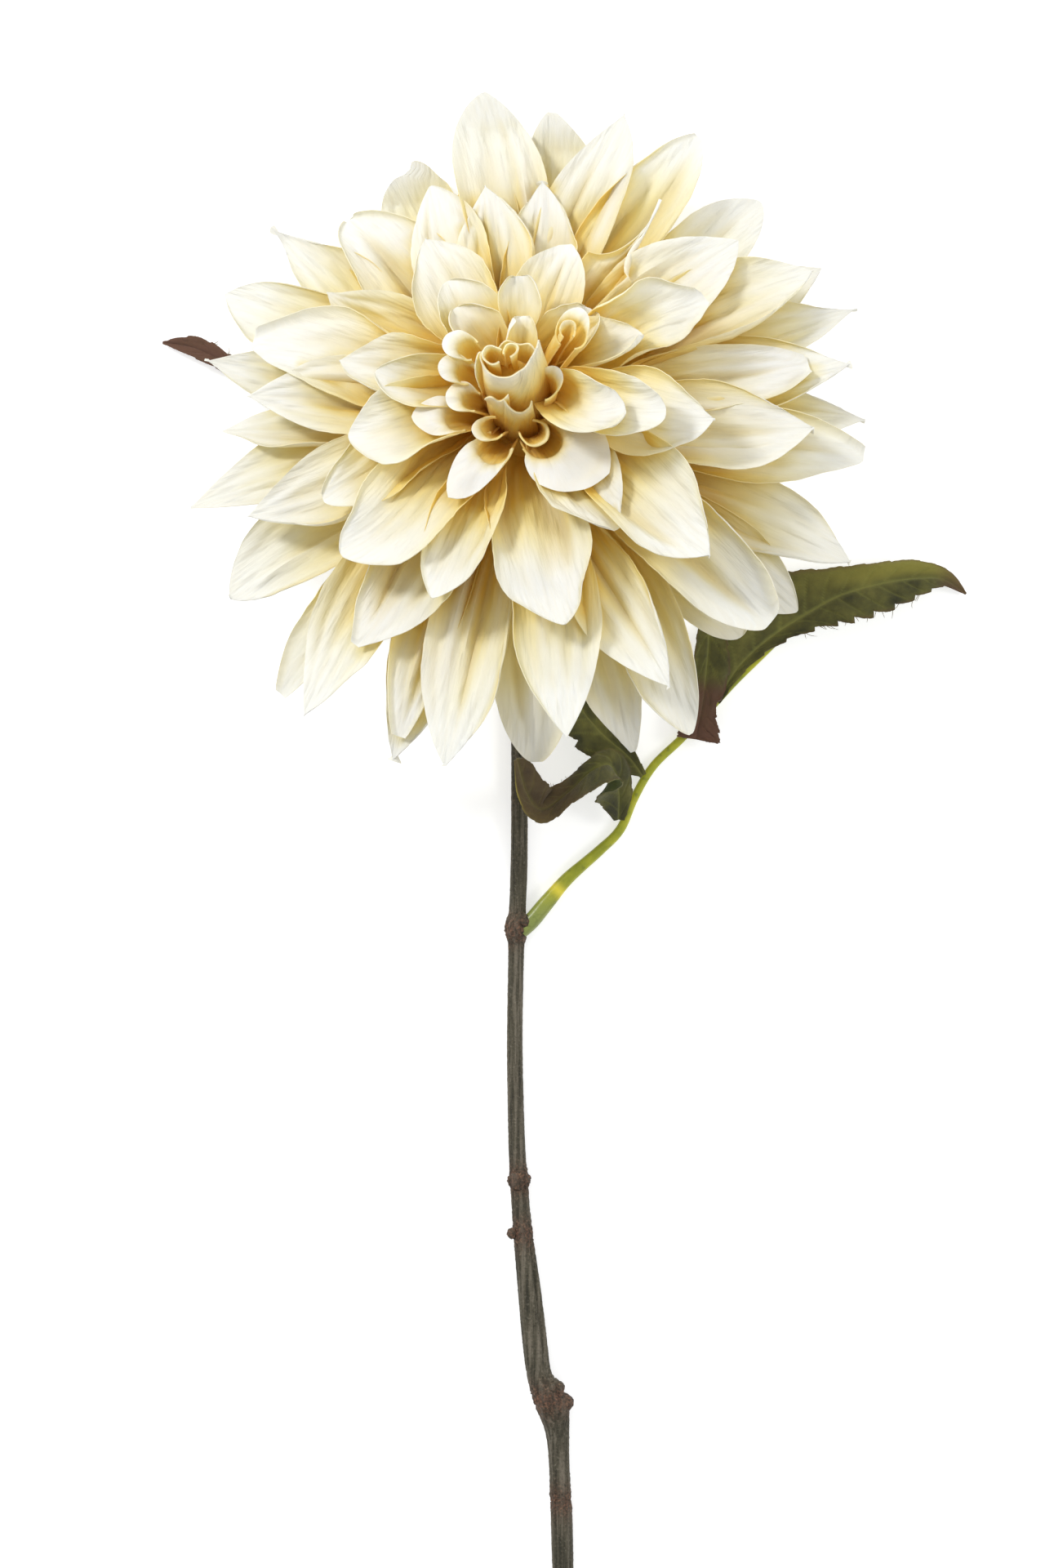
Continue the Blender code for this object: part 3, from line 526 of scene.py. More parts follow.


# Petals
# A sheet is the middle surface of a petal, with the share along it, the place across it from -1 to 1,
# how golden it is, how far painted shade greys it, and its folds: above 0.5 on a ridge and below in
# a valley. The material paints shade in the valleys and a highlight on the ridges.
Sheet = namedtuple(
    "Sheet",
    "points uv along across gold grey folds thickness",
    defaults=(0.0, 0.5, PETAL_THICKNESS),
)


def blank_sheet(rows, columns):
    """Zeros for a sheet's points, its UV map and one value at each point."""
    shape = (rows + 1, columns + 1)
    return np.zeros((*shape, 3)), np.zeros((*shape, 2)), np.zeros(shape)


def outward(azimuth):
    """Square to the bloom's axis, and pointing to the azimuth when seen from above."""
    angle = math.radians(azimuth)
    flat = Vector((math.cos(angle), math.sin(angle), 0.0))
    flat.z = -(flat.x * AXIS.x + flat.y * AXIS.y) / AXIS.z
    return flat.normalized()


def petal_course(layer, petal, sweep):
    """The four control points of a petal's midrib."""
    root_way = outward(petal.azimuth + sweep)
    tip_way = outward(petal.azimuth)
    root = root_way * layer.root_radius + AXIS * (layer.root_height + LIFT_AT_ROOT * petal.lift)
    angle = math.radians(petal.azimuth)
    tip = Vector((petal.reach * math.cos(angle), petal.reach * math.sin(angle), 0.0))
    tip.z = (layer.tip_height + petal.lift - AXIS.x * tip.x - AXIS.y * tip.y) / AXIS.z
    span = (tip - root).length
    leave = math.radians(layer.leave)
    arrive = math.radians(layer.arrive)
    first = root + (root_way * math.cos(leave) + AXIS * math.sin(leave)) * span * MIDRIB_HANDLE
    second = tip - (tip_way * math.cos(arrive) + AXIS * math.sin(arrive)) * span * MIDRIB_HANDLE
    return root, first, second, tip


def petal_outline(u, blunt, root):
    """Half width along a petal as a share of the widest."""
    if u < PETAL_WIDEST:
        rise = math.sin(u / PETAL_WIDEST * math.pi / 2)
        return root + (1.0 - root) * rise**1.1
    fall = min((u - PETAL_WIDEST) / (1.0 - PETAL_WIDEST), 1.0)
    return max((1.0 - fall ** (1.65 + 1.1 * blunt)) ** (1.3 - 0.85 * blunt), 0.012)


def rolled_section(crumple, across, half, bend, lip):
    """A petal's cross section: it bends by so much a millimetre, and otherwise toward its edges."""
    arcs = half * across * (1.0 + crumple.uneven * np.sign(across))
    curve = bend * (1.0 + crumple.one_sided * np.sign(across))
    curve = curve * (1.0 - lip * 2.6 * smoothstep(0.62, 1.0, np.abs(across)))
    curl = np.where(across < 0.0, *crumple.curls) * (1.0 - lip)
    curve = curve + curl * smoothstep(0.72, 1.0, np.abs(across)) / (0.14 * np.abs(arcs).max())
    steps = np.diff(arcs)
    turns = (curve[1:] + curve[:-1]) / 2.0 * steps
    angles = np.concatenate([[0.0], np.cumsum(turns)])
    angles -= angles[len(angles) // 2]
    between = (angles[1:] + angles[:-1]) / 2.0
    sideways = np.concatenate([[0.0], np.cumsum(np.cos(between) * steps)])
    inward = np.concatenate([[0.0], np.cumsum(np.sin(between) * steps)])
    middle = len(arcs) // 2
    return angles, sideways - sideways[middle], inward - inward[middle]


def pleat(draw):
    """A lengthwise fold: place across, spread, depth, where it starts and stops, and its slant."""
    middle = draw.uniform(-0.75, 0.75)
    depth = draw.choice((-1.0, 1.0)) * draw.uniform(0.6, 1.8)
    start = draw.uniform(0.0, 0.35)
    return middle, draw.uniform(0.08, 0.2), depth, start, draw.uniform(0.62, 1.0), -0.35 * middle


class Crumple:
    """How one petal is crumpled, partly by chance.

    u is the share along the petal, v the place across it from -1 to 1, half is half its width there,
    and window is 1 along most of it and falls to 0 at its root and its tip.
    """

    def __init__(self, layer, petal, draw):
        stiff = 1.0 - layer.lip
        size = petal.width / PLAIN_WIDTH
        self.size = size
        self.width = petal.width
        self.sweep = petal.sweep + draw.uniform(-10.0, 10.0) * stiff
        self.seed = draw.uniform(0.0, 100.0)
        self.rib_depth = layer.rib_depth * petal.ribs * size
        self.rib_count = draw.uniform(3.4, 5.6)
        self.rib_shift = draw.uniform(0.0, 1.0)
        self.pleats = [pleat(draw) for _ in range(draw.randint(2, 4))]
        self.turned_up = petal.turned_up * 1.7 * size
        self.ruffle = draw.uniform(0.4, 1.5) * size
        self.ruffles = draw.uniform(1.1, 2.3)
        self.phases = (draw.uniform(0.0, 6.28), draw.uniform(0.0, 6.28))
        self.tip_bend = (draw.uniform(-4.5, 3.0) * stiff - 2.6 * layer.lip) * size
        if petal.tip_bend is not None:
            self.tip_bend = petal.tip_bend
        self.bow = draw.uniform(-4.0, 4.0) * size
        self.uneven = draw.uniform(-0.18, 0.18)
        self.one_sided = draw.uniform(-0.5, 0.5)
        self.curls = (draw.uniform(-0.6, 1.7), draw.uniform(-0.6, 1.7))
        self.twist = math.radians(petal.twist + draw.uniform(-12.0, 12.0))
        self.spine_depth = max(draw.uniform(-0.8, 1.3), 0.0) * size
        self.crease_at = draw.uniform(0.35, 0.7)
        self.crease_slope = draw.uniform(-0.35, 0.35)
        self.crease_depth = draw.uniform(0.0, 0.6) * size

    def ribs(self, u, v, half, window):
        """How far the ribs, pleats and spine lift a point."""
        drift = 0.3 * wobble(u * 2.0, self.seed, 7.0)
        rib = math.cos(2.0 * math.pi * (self.rib_count * (v + 1.0) / 2.0 + self.rib_shift + drift))
        lift = 0.36 * self.rib_depth * window * rib * (1.0 - 0.6 * v * v)
        for at, spread, depth, start, stop, slant in self.pleats:
            shape = bell(v - slant * u, at, spread) * ease(start, stop, u)
            lift += self.rib_depth * depth * shape * min(2.6 * half / self.width, 1.0)
        return lift - self.spine_depth * math.exp(-abs(v) / 0.16) * window

    def waves(self, u, v, window):
        """How far the edges, the tip, a crease and small bumps lift a point."""
        edge = abs(v)
        wave = math.sin(6.28 * self.ruffles * u + self.phases[0 if v < 0.0 else 1])
        lift = self.turned_up * edge**5 * window
        lift += self.ruffle * edge**2.5 * wave * min(2.0 * window, 1.0)
        lift += self.tip_bend * max((u - 0.62) / 0.38, 0.0) ** 2
        lift -= self.crease_depth * bell(u - self.crease_slope * v, self.crease_at, 0.035)
        lift += 1.1 * self.size * window * wobble(u * 2.6 + self.seed, v * 1.3, self.seed)
        return lift + 0.35 * self.size * window * wobble(u * 7.0 + self.seed, v * 4.0, self.seed + 9.0)


def petal_sheet(layer, petal, floor, draw):
    """A petal's grid of points, rolled and crumpled round its midrib."""
    crumple = Crumple(layer, petal, draw)
    tip_roll = layer.tip_roll if petal.tip_roll is None else petal.tip_roll
    a, b, c, d = petal_course(layer, petal, crumple.sweep)
    length = (d - a).length * MIDRIB_STRETCH
    rows = 1.0 - (1.0 - np.linspace(0.0, 1.0, PETAL_ROWS + 1)) ** 1.4
    across = np.linspace(-1.0, 1.0, PETAL_COLUMNS + 1)
    points, uv, folds = blank_sheet(PETAL_ROWS, PETAL_COLUMNS)
    for i, u in enumerate(rows):
        s = 1.0 - u
        middle = a * s**3 + b * 3 * s * s * u + c * 3 * s * u * u + d * u**3
        ahead = ((b - a) * s * s + (c - b) * 2 * s * u + (d - c) * u * u).normalized()
        side = ahead.cross(AXIS).normalized()
        side.rotate(Matrix.Rotation(crumple.twist * u**1.5, 3, ahead))
        inner = side.cross(ahead).normalized()
        middle = middle + side * crumple.bow * math.sin(math.pi * u) * u
        ragged = 1.0 + 0.02 * wobble(u * 26.0, crumple.seed, 3.0)
        ragged += 0.05 * wobble(u * 4.0, crumple.seed, 5.0)
        half = petal.width / 2.0 * petal_outline(u, petal.blunt, layer.root_share) * ragged
        share = tip_roll + (2.2 - tip_roll) * s**1.3
        half_angle = min(math.radians(petal.roll) * share, half / TIGHTEST_ROLL, WIDEST_ROLL)
        bend = max(half_angle, 0.02) / half
        window = float(smoothstep(0.02, 0.22, u) * (1.0 - smoothstep(0.7, 0.98, u)))
        angles, sideways, inward = rolled_section(crumple, across, half, bend, layer.lip * window)
        for j, v in enumerate(across):
            lift = crumple.ribs(u, v, half, window)
            folds[i, j] = 0.5 + 0.25 * lift / crumple.size
            lift += crumple.waves(u, v, window)
            place = middle + side * (sideways[j] - lift * math.sin(angles[j]))
            place += inner * (inward[j] + lift * math.cos(angles[j]))
            points[i, j] = place + FOOT
            uv[i, j] = (0.5 + half * v / UV_UNIT, length * u / UV_UNIT)
    points[..., 2] = np.maximum(points[..., 2], floor)
    thin = 1.0 - 0.5 * np.abs(across)[None, :] ** 6 - 0.3 * smoothstep(0.9, 1.0, rows)[:, None]
    return Sheet(points, uv, rows[:, None], across, petal.gold, petal.grey, folds, PETAL_THICKNESS * thin)


def trumpet_sheet(trumpet, draw):
    """A petal rolled into a tube, with a lip that flares and on one side runs out in a tongue."""
    lean = outward(trumpet.azimuth)
    way = outward(trumpet.tongue_way)
    square = AXIS.cross(way)
    radius = trumpet.radius
    seed = draw.uniform(0.0, 100.0)
    tube = trumpet.mouth - trumpet.root
    points, uv, along = blank_sheet(TRUMPET_ROWS, TRUMPET_COLUMNS)
    across = np.linspace(-1.0, 1.0, TRUMPET_COLUMNS + 1)
    for j, v in enumerate(across):
        angle = math.radians(trumpet.wrap) * v
        round_about = way * math.cos(angle) + square * math.sin(angle)
        lip = trumpet.flare * (1.0 + 0.5 * wobble(v * 2.0, seed, 1.0))
        end = max(1.0 - (abs(angle) / TONGUE_ANGLE) ** trumpet.round_end, 0.0)
        lip += trumpet.tongue * end ** (2.0 * trumpet.point)
        for i in range(TRUMPET_ROWS + 1):
            reach = (tube + lip) * (1.0 - (1.0 - i / TRUMPET_ROWS) ** 1.25)
            rise = min(reach / tube, 1.0)
            over = max(reach - tube, 0.0)
            turn = min(over / LIP_BEND, LIP_DROOP)
            straight = over - turn * LIP_BEND
            out = radius * (0.7 + 0.3 * rise) + LIP_BEND * (1.0 - math.cos(turn)) + straight * math.sin(turn)
            height = trumpet.root + tube * rise + LIP_BEND * math.sin(turn) + straight * math.cos(turn)
            out += 0.5 * wobble(rise * 2.0, v * 2.0, seed)
            height += 0.14 * over * wobble(v * 5.0, over * 0.15, seed)
            share = trumpet.root_share + (1.0 - trumpet.root_share) * rise**1.4
            points[i, j] = FOOT + AXIS * height + lean * share * trumpet.offset + round_about * out
            uv[i, j] = (radius * angle / UV_UNIT + 0.5, reach / UV_UNIT)
            along[i, j] = 0.15 + 0.35 * rise**3 + 0.45 * min(over / 5.0, 1.0)
    return Sheet(points[:, ::-1], uv[:, ::-1], along[:, ::-1], across, TRUMPET_GOLD)


def wrap_sheet(wrap, draw):
    """A petal wrapped round the bud: its top edge runs through the given points."""
    (first, last, first_radius, last_radius, root, bulge, flare), edge_points = wrap
    edge = [Vector(point) for point in edge_points]
    columns = WRAP_COLUMNS_A_POINT * len(edge)
    seed = draw.uniform(0.0, 100.0)
    points, uv, along = blank_sheet(WRAP_ROWS, columns)
    for j in range(columns + 1):
        share = j / columns
        top = smooth_point(edge, share)
        for i in range(WRAP_ROWS + 1):
            u = 1.0 - (1.0 - i / WRAP_ROWS) ** 1.3
            azimuth = first + (last - first) * share
            azimuth += (top.x - azimuth) * u
            radius = first_radius + (last_radius - first_radius) * share
            radius += (top.y - radius) * u**1.3 + bulge * math.sin(math.pi * u)
            radius += flare * max((u - 0.75) / 0.25, 0.0) ** 2
            radius += 0.4 * wobble(u * 2.4, share * len(edge), seed)
            height = root + (top.z - root) * u
            points[i, j] = FOOT + AXIS * height + outward(azimuth) * radius
            uv[i, j] = (radius * math.radians(azimuth) / UV_UNIT, height / UV_UNIT)
            along[i, j] = 0.2 + 0.6 * u**4
    return Sheet(points[:, ::-1], uv[:, ::-1], along, np.linspace(-1.0, 1.0, columns + 1), WRAP_GOLD)


def turned_part(profile, sides):
    """(vertices, quads) of a closed solid turned round the bloom's axis from (radius, height) pairs."""
    turn = Vector((0.0, 0.0, 1.0)).rotation_difference(AXIS).to_matrix()
    vertices = []
    for radius, height in profile:
        for k in range(sides):
            angle = 2.0 * math.pi * k / sides
            local = Vector((radius * math.cos(angle), radius * math.sin(angle), height))
            vertices.append(tuple(turn @ local + FOOT))
    return np.array(vertices), ring_quads(len(profile), sides)[:, (0, 3, 2, 1)]


# Hollows of the bloom, for the painted shade in them
def shut_in_at(tree, place, up, looks):
    """How far petals shut a point in, from 0 to 1, over all its looks round its normal."""
    first = up.orthogonal().normalized()
    second = up.cross(first)
    origin = place + up * LOOK_START
    shut = 0.0
    for x, y, z in looks:
        distance = tree.ray_cast(origin, first * x + second * y + up * z, HOLLOW_REACH)[3]
        if distance is not None:
            shut += 1.0 - distance / HOLLOW_REACH
    return shut / len(looks)


def hollows(sheets):
    """For each face of each sheet, how far each point is shut in by the petals round it, 0 to 1."""
    corners, quads, start = [], [], 0
    for sheet in sheets:
        coarse = sheet.points[::2, ::2]
        count = coarse.shape[0] * coarse.shape[1]
        quads.append(grid_quads(start + np.arange(count).reshape(coarse.shape[:2])))
        corners.append(coarse.reshape(-1, 3))
        start += count
    tree = BVHTree.FromPolygons(np.concatenate(corners).tolist(), np.concatenate(quads).tolist())
    looks = []
    for ring, count in LOOK_RINGS:
        for k in range(count):
            turn = 2.0 * math.pi * (k + ring) / count
            looks.append((ring * math.cos(turn), ring * math.sin(turn), math.sqrt(1.0 - ring * ring)))
    found = []
    for sheet in sheets:
        all_rows = np.arange(len(sheet.points))
        all_columns = np.arange(sheet.points.shape[1])
        rows = np.linspace(0, all_rows[-1], LOOK_GRID[0]).round().astype(int)
        columns = np.linspace(0, all_columns[-1], LOOK_GRID[1]).round().astype(int)
        places = sheet.points[np.ix_(rows, columns)].reshape(-1, 3)
        normals = facing(sheet.points)[np.ix_(rows, columns)].reshape(-1, 3)
        faces = []
        for way in (1.0, -1.0):
            shut = [shut_in_at(tree, Vector(at), Vector(up) * way, looks) for at, up in zip(places, normals)]
            shut = np.array(shut).reshape(len(rows), len(columns))
            wide = np.array([np.interp(all_columns, columns, row) for row in shut])
            faces.append(np.array([np.interp(all_rows, rows, column) for column in wide.T]).T)
        found.append(faces)
    return found


def sheet_part(sheet, shut_in, shares):
    """A closed sheet with its marks: shares along and across it, and how far each face is shut in."""
    one = np.ones(sheet.points.shape[:2])
    across = sheet.across * 0.5 + 0.5
    marks = []
    for shut, share in zip(shut_in, shares):
        marks.append(np.stack([one * sheet.along, one * across, shut * share, one], -1).reshape(-1, 4))
    tones = np.stack([one * sheet.gold, one * sheet.grey, one * sheet.folds, one], -1)
    shape = closed_sheet(sheet.points, sheet.thickness)
    return Part(*shape, both_faces(sheet.uv), np.concatenate(marks), both_faces(tones))


def build_bloom(material):
    layers = {}
    for depth, (name, layer) in enumerate(LAYERS.items()):
        layers[f"petals_{name}"] = sheets = []
        for number, row in enumerate(PETALS[name]):
            stacked = 2 * depth + (number + 1) % 2
            floor = PETAL_THICKNESS / 2.0 + stacked * PETAL_STACKING
            sheets.append(petal_sheet(layer, Petal(*row), floor, random.Random(f"{name} {number}")))
    layers["bud"] = [
        *(trumpet_sheet(Trumpet(*row), random.Random(f"trumpet {n}")) for n, row in enumerate(TRUMPETS)),
        *(wrap_sheet(row, random.Random(f"wrap {n}")) for n, row in enumerate(BUD_WRAPS)),
    ]
    shut_in = iter(hollows([sheet for sheets in layers.values() for sheet in sheets]))
    for name, sheets in layers.items():
        shares = PAINTED_HOLLOW_SHADE.get(name, PLAIN_HOLLOW_SHADE)
        parts = [sheet_part(sheet, next(shut_in), shares) for sheet in sheets]
        if name == "bud":
            core = turned_part(CORE_PROFILE, CORE_SIDES)
            # The core is coloured as deep in a hollow: painted shade.
            parts.append(plain_part(core, (0.05, 0.5, 0.8, 1.0), (0.9, 0.0, 0.5, 1.0)))
        finish(mesh_object(name, parts), material, "bloom")


# Calyx
def bract_part(way):
    """A green bract that runs out under the petals, with two furrows along it."""
    square = AXIS.cross(way)
    rows = np.linspace(0.0, 1.0, BRACT_ROWS + 1)
    across = np.linspace(-1.0, 1.0, BRACT_COLUMNS + 1)
    points = np.zeros((len(rows), len(across), 3))
    marks = np.zeros((len(rows), len(across), 4))
    for i, u in enumerate(rows):
        for j, v in enumerate(across):
            half = BRACT_HALF_WIDTH * max((1.0 - u**2.2) ** 0.7, 0.03)
            rib = 0.25 * math.cos(3.0 * math.pi * v) * (1.0 - u)
            height = CALYX_TOP - 2.6 - 2.4 * u + 1.6 * v * v * (1.0 - u) + rib
            reach = BRACT_ROOT + BRACT_LENGTH * u
            points[i, j] = FOOT + AXIS * height + way * reach + square * half * v
            marks[i, j, :2] = (u, v * 0.5 + 0.5)
    shape = closed_sheet(points[:, ::-1], BRACT_THICKNESS)
    return Part(*shape, np.full((2 * marks[..., 0].size, 2), 0.5), both_faces(marks))


def build_calyx(material):
    parts = [plain_part(turned_part(CALYX_PROFILE, CALYX_SIDES), (0.2, 0.5, 0.5, 0.0))]
    parts += [bract_part(outward(360.0 * number / BRACTS + 12.0)) for number in range(BRACTS)]
    finish(mesh_object("calyx_green", parts), material, "calyx")


# Stem and stalks
def tube_part(course, rings, sides, shape=None):
    """(vertices, quads) of a closed tube along (point, radius) pairs.

    shape(distance, angle), where it is given, says by how much the radius is multiplied.
    """
    centres = [Vector(point) for point, _ in course]
    radii = [Vector((radius, 0.0, 0.0)) for _, radius in course]
    lengths = [0.0]
    for one, other in zip(centres, centres[1:]):
        lengths.append(lengths[-1] + (other - one).length)
    vertices = []
    side = Vector((1.0, 0.0, 0.0))
    for i in range(rings + 1):
        distance = lengths[-1] * i / rings
        share = float(np.interp(distance, lengths, np.linspace(0.0, 1.0, len(lengths))))
        centre, ahead = course_at(centres, share, 0.002)
        side = (side - ahead * side.dot(ahead)).normalized()
        up = side.cross(ahead)
        radius = smooth_point(radii, share).x
        for k in range(sides):
            angle = 2.0 * math.pi * k / sides
            reach = radius * (shape(distance, angle) if shape else 1.0)
            point = centre + side * reach * math.cos(angle) + up * reach * math.sin(angle)
            vertices.append((point.x, point.y, max(point.z, 0.0)))
    vertices = np.array(vertices)
    first = vertices[:sides].mean(axis=0)
    last = vertices[-sides:].mean(axis=0)
    # smaller rings that close both ends
    before = [first + (vertices[:sides] - first) * share for share in (0.02, 0.6)]
    after = [last + (vertices[-sides:] - last) * share for share in (0.6, 0.02)]
    vertices = np.concatenate(before + [vertices] + after)
    return vertices, ring_quads(len(vertices) // sides, sides)


def stem_course():
    start = FOOT + AXIS * NECK_START
    neck = (
        start,
        start - AXIS * 3.0,
        BELOW + Vector((0.6, -13.6, 8.6)),
        BELOW + Vector((-0.4, -22.0, 3.9)),
    )
    course = [(point, NECK_RADIUS) for point in neck]
    for before, aside, radius in STEM_COURSE:
        course.append((BELOW + Vector((aside, -before, radius - STEM_FLAT)), radius))
    return course


def bark(distance, angle):
    """Share of the stem's radius: long ridges, small scars and a rough skin."""
    x, y = math.cos(angle), math.sin(angle)
    ridge = wobble(x * 2.6, y * 2.6, distance * 0.02)
    groove = wobble(x * 6.0, y * 6.0, distance * 0.05 + 40.0)
    rough = wobble(x * 5.0, y * 5.0, distance * 0.9)
    grain = wobble(x * 9.0, y * 9.0, distance * 1.6)
    # The distance along the tube is about 1 mm less than the distance before the foot.
    knot = sum(bell(distance + 1.0, at, KNOT_SPREAD) for at in KNOTS)
    turn = (angle + math.pi) % (2.0 * math.pi) - math.pi
    crack = ease(*CRACKED, distance) * (0.16 * bell(turn, -0.3, 0.3) - 0.22 * bell(turn, -0.85, 0.16))
    share = 1.0 + 0.07 * ridge - 0.06 * max(groove, 0.0) + 0.03 * rough + crack
    return share + (0.025 + 0.09 * knot) * grain + 0.10 * knot * rough


def knob_part(centre, radius, seed):
    """(vertices, quads) of a rough bud: a ball whose skin is pushed in and out."""
    vertices = []
    for i in range(KNOB_ROWS + 1):
        polar = math.pi * (0.01 + 0.98 * i / KNOB_ROWS)
        for k in range(KNOB_SIDES):
            angle = 2.0 * math.pi * k / KNOB_SIDES
            out = math.sin(polar)
            way = Vector((out * math.cos(angle), out * math.sin(angle), math.cos(polar)))
            reach = 1.0 + 0.18 * noise.noise(way * 1.9 + Vector((seed, 0.0, 0.0)))
            reach += 0.12 * noise.noise(way * 4.5 + Vector((seed, 3.0, 0.0)))
            vertices.append(tuple(centre + way * radius * reach))
    return np.array(vertices), ring_quads(KNOB_ROWS + 1, KNOB_SIDES)


def build_stem(material):
    shapes = [tube_part(stem_course(), STEM_RINGS, STEM_SIDES, bark)]
    for number, (before, aside, height, radius) in enumerate(STEM_KNOBS):
        shapes.append(knob_part(BELOW + Vector((aside, -before, height)), radius, 3.0 * number))
    parts = [plain_part(shape, (0.0, 0.0, 0.0, 0.0)) for shape in shapes]
    for part in parts:
        distances = BELOW.y - part.vertices[:, 1]
        near = [np.exp(-(((distances - knot) / KNOT_SPREAD) ** 2)) for knot in KNOTS]
        part.marks[:, 0] = np.max(near, axis=0)
    finish(mesh_object("stem_bark", parts), material, "stem")


def stalk_skin(distance, angle):
    """Share of a stalk's radius: a groove on top and a slightly uneven skin."""
    rough = wobble(math.cos(angle), math.sin(angle), distance * 0.12)
    return 1.0 - 0.10 * bell(angle, math.pi / 2, 0.5) + 0.05 * rough


def build_stalks(material):
    for name, points in STALKS.items():
        course = [(BELOW + Vector(point[:3]), point[3]) for point in points]
        shape = tube_part(course, STALK_RINGS, STALK_SIDES, stalk_skin)
        part = plain_part(shape, (0.0, 0.0, 0.0, 0.0))
        distance = np.linalg.norm(part.vertices - np.array(course[0][0]), axis=1)
        part.marks[:, 0] = np.exp(-((distance / STALK_FOOT) ** 4))
        part.marks[:, 1] = np.exp(-(((distance - STALK_SPOT[0]) / STALK_SPOT[1]) ** 2))
        finish(mesh_object(f"{name}_skin", [part]), material, name)


# Leaves
def blade_parts(blade, draw):
    """A leaf blade with a sunk midrib, side veins that reach its teeth, and a toothed, frayed edge."""
    places = [Vector(station[:3]) for station in blade.stations]
    shapes = [Vector(station[3:]) for station in blade.stations]
    rows = np.linspace(0.0, 1.0, BLADE_ROWS_A_TOOTH * blade.teeth + 1)
    across = np.linspace(-1.0, 1.0, BLADE_COLUMNS + 1)
    seed = draw.uniform(0.0, 100.0)
    brown, brown_start = blade.brown
    sheen_at, sheen_spread, pale = blade.pale
    grid = np.zeros((len(rows), len(across), 3))
    marks = np.zeros((len(rows), len(across), 4))
    tones = np.zeros((len(rows), len(across), 4))
    for i, u in enumerate(rows):
        middle, ahead = course_at(places, u, 0.02)
        roll, left, right = smooth_point(shapes, u)
        side = ahead.cross(Vector((0.0, 0.0, 1.0))).normalized()
        side.rotate(Matrix.Rotation(math.radians(roll), 3, ahead))
        upper = side.cross(ahead).normalized()
        for j, v in enumerate(across):
            edge = abs(v)
            on_right = int(v > 0.0)
            half = max((left, right)[on_right], 0.15)
            count = u * blade.teeth + 0.5 * wobble(u * 4.0, 5.0 * on_right, seed) + 0.35 * on_right
            bite = blade.bites[on_right] * (1.0 - count % 1.0) ** 1.5 + 0.04 * wobble(u * 90.0, v, seed)
            reach = half * edge * (1.0 - bite * edge**3)
            vein = abs(((count - edge * 1.3) % 1.0) - 0.5) * 2.0
            side_vein = bell(vein, 0.0, 0.13) * (1.0 - float(smoothstep(0.7, 1.0, edge)))
            midrib = bell(edge * half, 0.0, 0.5)
            size = min(half / 6.0, 1.0)
            lift = blade.fold * reach - 0.25 * midrib
            lift += 0.4 * (1.0 - side_vein) * math.sin(math.pi * edge) * size
            lift += 1.1 * wobble(u * 5.0, v * 1.5, seed) * edge * size
            lift += 0.5 * wobble(u * 13.0, v * 3.0, seed) * edge * size
            place = BELOW + middle + side * math.copysign(reach, v) + upper * lift
            grid[i, j] = (place.x, place.y, max(place.z, LEAF_THICKNESS / 2.0 + 0.05))
            tip = float(smoothstep(brown_start, brown_start + 0.18, u))
            tip += 0.5 * float(smoothstep(0.84, 1.0, edge))
            marks[i, j] = (max(side_vein * 0.5, midrib), 0.0, min(tip, 1.0) * brown, 1.0)
            # A painted highlight, a sheen, along part of the blade.
            light = pale * bell(u, sheen_at, sheen_spread)
            # The stronger the painted sheen is, the nearer it keeps to the left edge.
            tones[i, j, 0] = light * float(smoothstep(2.0 * pale - 1.2, pale, -v))
    shape = closed_sheet(grid, LEAF_THICKNESS)
    uv = np.stack(np.meshgrid(across * 0.1 + 0.5, rows * 0.6), axis=-1)
    marks = both_faces(marks)
    marks[len(marks) // 2:, 1] = 1.0
    parts = [Part(*shape, both_faces(uv), marks, both_faces(tones))]
    for _ in range(blade.threads):
        parts.append(plain_part(thread_part(grid, draw), (0.5, 0.0, 0.5, 1.0), (0.0, 0.0, 0.0, 0.0)))
    return parts


def thread_part(grid, draw):
    """(vertices, quads) of a loose thread of the fabric, at the right edge of a blade."""
    row = draw.randint(len(grid) // 3, 4 * len(grid) // 5)
    start = Vector(grid[row, -1])
    out = (start - Vector(grid[row, -5])).normalized()
    ahead = (Vector(grid[row + 2, -3]) - Vector(grid[row - 2, -3])).normalized()
    way = out * 0.7 + ahead * draw.uniform(-0.9, 0.9) + Vector((0.0, 0.0, draw.uniform(-0.1, 0.3)))
    length = draw.uniform(0.8, 2.8)
    middle = start + way * length * 0.5
    end = middle + (way + ahead * draw.uniform(-0.6, 0.6)) * length * 0.5
    return tube_part([(start - out * 0.4, 0.09), (middle, 0.08), (end, 0.04)], 4, 4)


def build_leaves(material):
    for name, blade in BLADES.items():
        parts = blade_parts(blade, random.Random(name))
        finish(mesh_object(f"{name}_fabric", parts), material, name)


